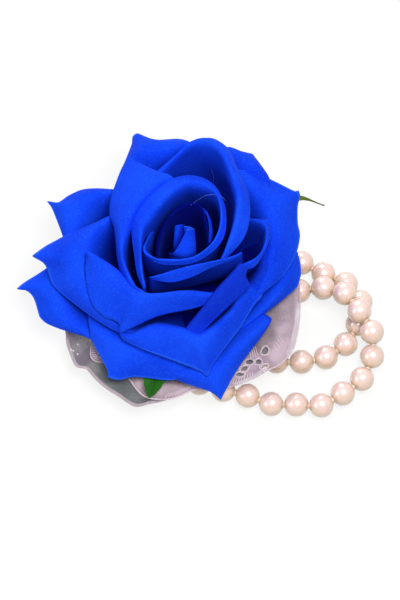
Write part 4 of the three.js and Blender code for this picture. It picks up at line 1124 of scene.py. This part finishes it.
def makeLace(spec):
    # columns and rows lie closer round the eyelets, whose edges the nearest points are drawn to
    fineDegrees, fineCount = spec["fine"]
    half = fineDegrees / 2
    fine = [np.linspace(a - half, a + half, fineCount, endpoint=False) for a in motifAzimuths]
    starts = [a + half for a in motifAzimuths]
    gap = motifPitch - fineDegrees
    coarse = [np.linspace(a, a + gap, spec["coarse"], endpoint=False) for a in starts]
    azimuth = np.sort(np.concatenate(fine + coarse) % 360)
    inner = np.linspace(0, spec["fineFrom"], spec["rows"][0], endpoint=False)
    share = np.r_[inner, np.linspace(spec["fineFrom"], 1, spec["rows"][1])]
    turns, shares = np.meshgrid(azimuth, share)
    width = ruffleWidth(spec, azimuth)
    insets = (1 - shares) * width
    gone = np.zeros(turns.shape, bool)
    nearest = 0.05
    for middle in motifAzimuths:
        for along, inset, wide, tall, tilt in motifSet["eyelets"]:
            x = ((turns - middle + 180) % 360 - 180) / motifSet["degrees"] - along
            y = insets - inset
            level, square = tilted(x, y, -tilt)
            reach = np.hypot(level / wide, square / tall)
            inside = reach < 1
            gone |= inside
            push = np.where(inside, 1 / np.maximum(reach, nearest) - 1, 0)
            turns = turns + x * push * motifSet["degrees"]
            shares = shares - y * push / width
    grid = rufflePoints(spec, turns, shares)
    across = np.r_[azimuth, 360 + azimuth[0]] / 360
    uv = {"across": across, "along": share}
    return sheetObject("lace_flounce", grid, ruffleSet["thickness"], finishes["lace"], True, gone=gone, **uv)


for ruffleName, ruffleSpec in ruffles.items():
    flounce = (makeLace if ruffleName == "lace" else makeOrganza)(ruffleSpec)
    settle(flounce, ruffleName + "_ruffle")
    hem = makeHem(ruffleName, ruffleSpec)
    trim = (makeEmbroidery if ruffleName == "lace" else makeGlints)(ruffleSpec)
print("ruffles are gathered")

# loose fibres on the bud

fibreSet = {
    "radius": 0.06, "steps": 24,
    "lines": [[(2.1, 11.8, 40.4), (6.9, 12.9, 45.2), (10.3, 12.9, 45.8), (12.8, 12.0, 45.2),
               (13.4, 11.9, 43.6)],
              [(8.8, 27.6, 34.6), (9.4, 26.9, 32.0), (9.7, 25.8, 29.4)]],
}


def makeFibres():
    lines = [smoothLine(line, fibreSet["steps"]) for line in fibreSet["lines"]]
    settle(sewLines("petal_fibres", lines, fibreSet["radius"], finishes["looseFibre"]))


makeFibres()

# leaves and calyx: midrib, half width, where it is widest and how fast it narrows from there

leaves = {
    "leaf_front": {"line": [(-0.7, -2.6, 11.6), (-3.6, -14, 12.2), (-7.0, -27, 12.4), (-11.2, -43.4, 12.0)],
                   "half": 5.6, "widest": 0.5, "narrows": 0.62, "teeth": 0.35, "finish": "leaf"},
    "leaf_back": {"line": [(2.2, 1.6, 11.6), (18, 15, 12.4), (30, 23, 16), (38.2, 25.0, 18.4),
                           (46.2, 22.6, 18.0)],
                  "half": 5.0, "widest": 0.42, "narrows": 1.9, "teeth": 0.0, "finish": "dryTip"},
}
calyxSet = {"sepals": 5, "turned": 2, "radii": (2.6, 10, 19), "heights": (12.5, 12.3, 13.2)}
sepalSet = {"half": 3.8, "widest": 0.4, "narrows": 0.9, "teeth": 0.15, "finish": "leaf"}
for sepal in range(calyxSet["sepals"]):
    azimuth = 360 / calyxSet["sepals"] * sepal + calyxSet["turned"]
    knots = [(azimuth, r, z) for r, z in zip(calyxSet["radii"], calyxSet["heights"])]
    leaves[f"calyx_{sepal + 1}"] = {"line": fromPolar(knots, 0), **sepalSet}
bladeSet = {
    "across": 33, "along": 70, "thickness": 0.3, "footShare": 0.35, "roundness": 1.6, "tipShare": 0.03,
    "teethCount": 16, "teethFrom": 0.3, "teethTo": 0.97, "lift": 0.10, "ribDepth": 0.22, "ribWidth": 0.5,
    "veinDepth": 0.13, "veinSlant": 0.9, "veinPitch": 3.2, "veinSharpness": 6, "veinTo": 0.93,
}


def makeLeaf(name, spec):
    line = smoothLine(spec["line"], bladeSet["along"])
    beside = unit(np.cross((0, 0, 1), np.gradient(line, axis=0)))
    reach = lengthsAlong(line)[:, None]
    side = np.linspace(-1, 1, bladeSet["across"])[None, :]
    v = np.linspace(0, 1, bladeSet["along"])[:, None]
    foot = bladeSet["footShare"]
    rising = foot + (1 - foot) * np.sin(np.clip(v / spec["widest"], 0, 1) * math.pi / 2)
    beyond = np.clip((v - spec["widest"]) / (1 - spec["widest"]), 0, 1)
    falling = (1 - beyond ** bladeSet["roundness"]) ** spec["narrows"]
    half = spec["half"] * np.maximum(rising * falling, bladeSet["tipShare"])
    toothed = (v > bladeSet["teethFrom"]) * (v < bladeSet["teethTo"])
    teeth = spec["teeth"] * (1 - np.abs((v * bladeSet["teethCount"]) % 1 * 2 - 1)) * toothed
    sideways = side * (half + teeth * np.abs(side) ** 4)
    rib = bladeSet["ribDepth"] * np.exp(-((sideways / bladeSet["ribWidth"]) ** 2))
    slanted = reach - np.abs(sideways) * bladeSet["veinSlant"]
    ridges = np.abs(np.sin(slanted * math.pi / bladeSet["veinPitch"])) ** bladeSet["veinSharpness"]
    veins = bladeSet["veinDepth"] * ridges * (np.abs(side) < bladeSet["veinTo"])
    grid = line[:, None, :] + beside[:, None, :] * sideways[..., None]
    grid[..., 2] += bladeSet["lift"] * np.abs(sideways) - rib - veins
    piece = sheetObject(name + "_blade", grid, bladeSet["thickness"], finishes[spec["finish"]])
    settle(piece, name if name.startswith("leaf") else "calyx")


for leafName, leafSpec in leaves.items():
    makeLeaf(leafName, leafSpec)
print("leaves and calyx:", len(leaves))

# ribbon sleeve that holds both elastics: rows are Y and share of the full size, from a mouth inwards

sleeveSet = {
    "half": (4.4, 3.0), "middle": 5.4, "mouth": 4.4, "mouthShare": 0.42, "mouthRise": 0.5, "around": 72,
    "squareness": 0.65, "gathers": 11, "gatherDepth": 0.02, "gatherSlant": 0.35,
    "rows": [(-5.0, 0.42), (-7.5, 0.46), (-7.9, 0.6), (-7.95, 0.85), (-7.7, 0.97), (-6.6, 1.0), (-6.2, 0.96),
             (-5.8, 1.0), (-3, 1.0)],
}


def makeSleeve():
    turn = np.linspace(0, 2 * math.pi, sleeveSet["around"], endpoint=False)
    halfWide, halfTall = sleeveSet["half"]
    wide = halfWide * np.sign(np.cos(turn)) * np.abs(np.cos(turn)) ** sleeveSet["squareness"]
    tall = halfTall * np.sign(np.sin(turn)) * np.abs(np.sin(turn)) ** sleeveSet["squareness"]
    mirrored = [(-y, size) for y, size in reversed(sleeveSet["rows"])]
    rows = []
    for y, size in sleeveSet["rows"] + [(0, 1.0)] + mirrored:
        wave = np.sin(sleeveSet["gathers"] * turn + sleeveSet["gatherSlant"] * y)
        gather = size * (1 - sleeveSet["gatherDepth"] * (1 + wave))
        opened = np.clip((size - sleeveSet["mouthShare"]) / sleeveSet["mouthRise"], 0, 1)
        middle = sleeveSet["mouth"] + (sleeveSet["middle"] - sleeveSet["mouth"]) * opened
        rows.append(np.c_[wide * gather, np.full(len(turn), y), middle + tall * gather])
    piece = sheetObject("ribbon_sleeve_satin", np.array(rows), 0, finishes["ribbon"], True)
    capTube(piece, sleeveSet["around"])
    settle(piece, "ribbon_sleeve")


# felt pad: rows are inset and height, its edge frays a little

feltSet = {
    "half": (10.0, 7.5), "corner": 4.0, "cornerSteps": 12, "around": 120, "inset": 0.05,
    "rows": [(0.45, 0.0), (0.12, 0.12), (0.0, 0.5), (0.0, 1.0), (0.0, 1.5), (0.12, 1.88), (0.45, 2.0)],
    "fray": 0.005, "frayStep": 2.3, "frayTurn": 5,
    "stitches": 28, "stitchInset": 1.1, "stitchHeight": 2.05, "stitchLength": 1.5, "stitchWidth": 0.4,
}


def feltOutline(inset, count):
    corner = feltSet["corner"] - inset
    x, y = (half - feltSet["corner"] for half in feltSet["half"])
    line = []
    for k, (sx, sy) in enumerate(((1, 1), (-1, 1), (-1, -1), (1, -1))):
        for a in np.radians(np.linspace(90 * k, 90 * k + 90, feltSet["cornerSteps"])):
            line.append((sx * x + corner * math.cos(a), sy * y + corner * math.sin(a)))
    line = np.array(line + line[:1])
    lengths = lengthsAlong(line)
    at = np.linspace(0, lengths[-1], count, endpoint=False)
    return np.c_[np.interp(at, lengths, line[:, 0]), np.interp(at, lengths, line[:, 1])]


def makeFelt():
    around = feltSet["around"]
    rows = []
    for inset, z in feltSet["rows"]:
        outline = feltOutline(inset + feltSet["inset"], around)
        fray = feltSet["fray"] * np.sin(np.arange(around) * feltSet["frayStep"] + feltSet["frayTurn"] * z)
        rows.append(np.c_[outline * (1 + fray[:, None]), np.full(around, z)])
    piece = sheetObject("felt_pad_back", np.array(rows), 0, finishes["felt"], True)
    capTube(piece, around)
    settle(piece, "felt_pad")
    count = feltSet["stitches"]
    inner = feltOutline(feltSet["stitchInset"], count)
    ahead = np.roll(inner, -1, axis=0) - np.roll(inner, 1, axis=0)
    places = np.c_[inner, np.full(count, feltSet["stitchHeight"])]
    ways = np.c_[ahead, np.zeros(count)]
    size = (feltSet["stitchLength"], feltSet["stitchWidth"])
    sewStitches("felt_pad_stitches", *size, places, ways, finishes["pinkThread"], "felt")


makeSleeve()
makeFelt()
peg = frame["nodes"]["stem_peg"]
peg.data.materials.clear()
peg.data.materials.append(finishes["stem"])
print("sleeve, felt pad and peg are finished")
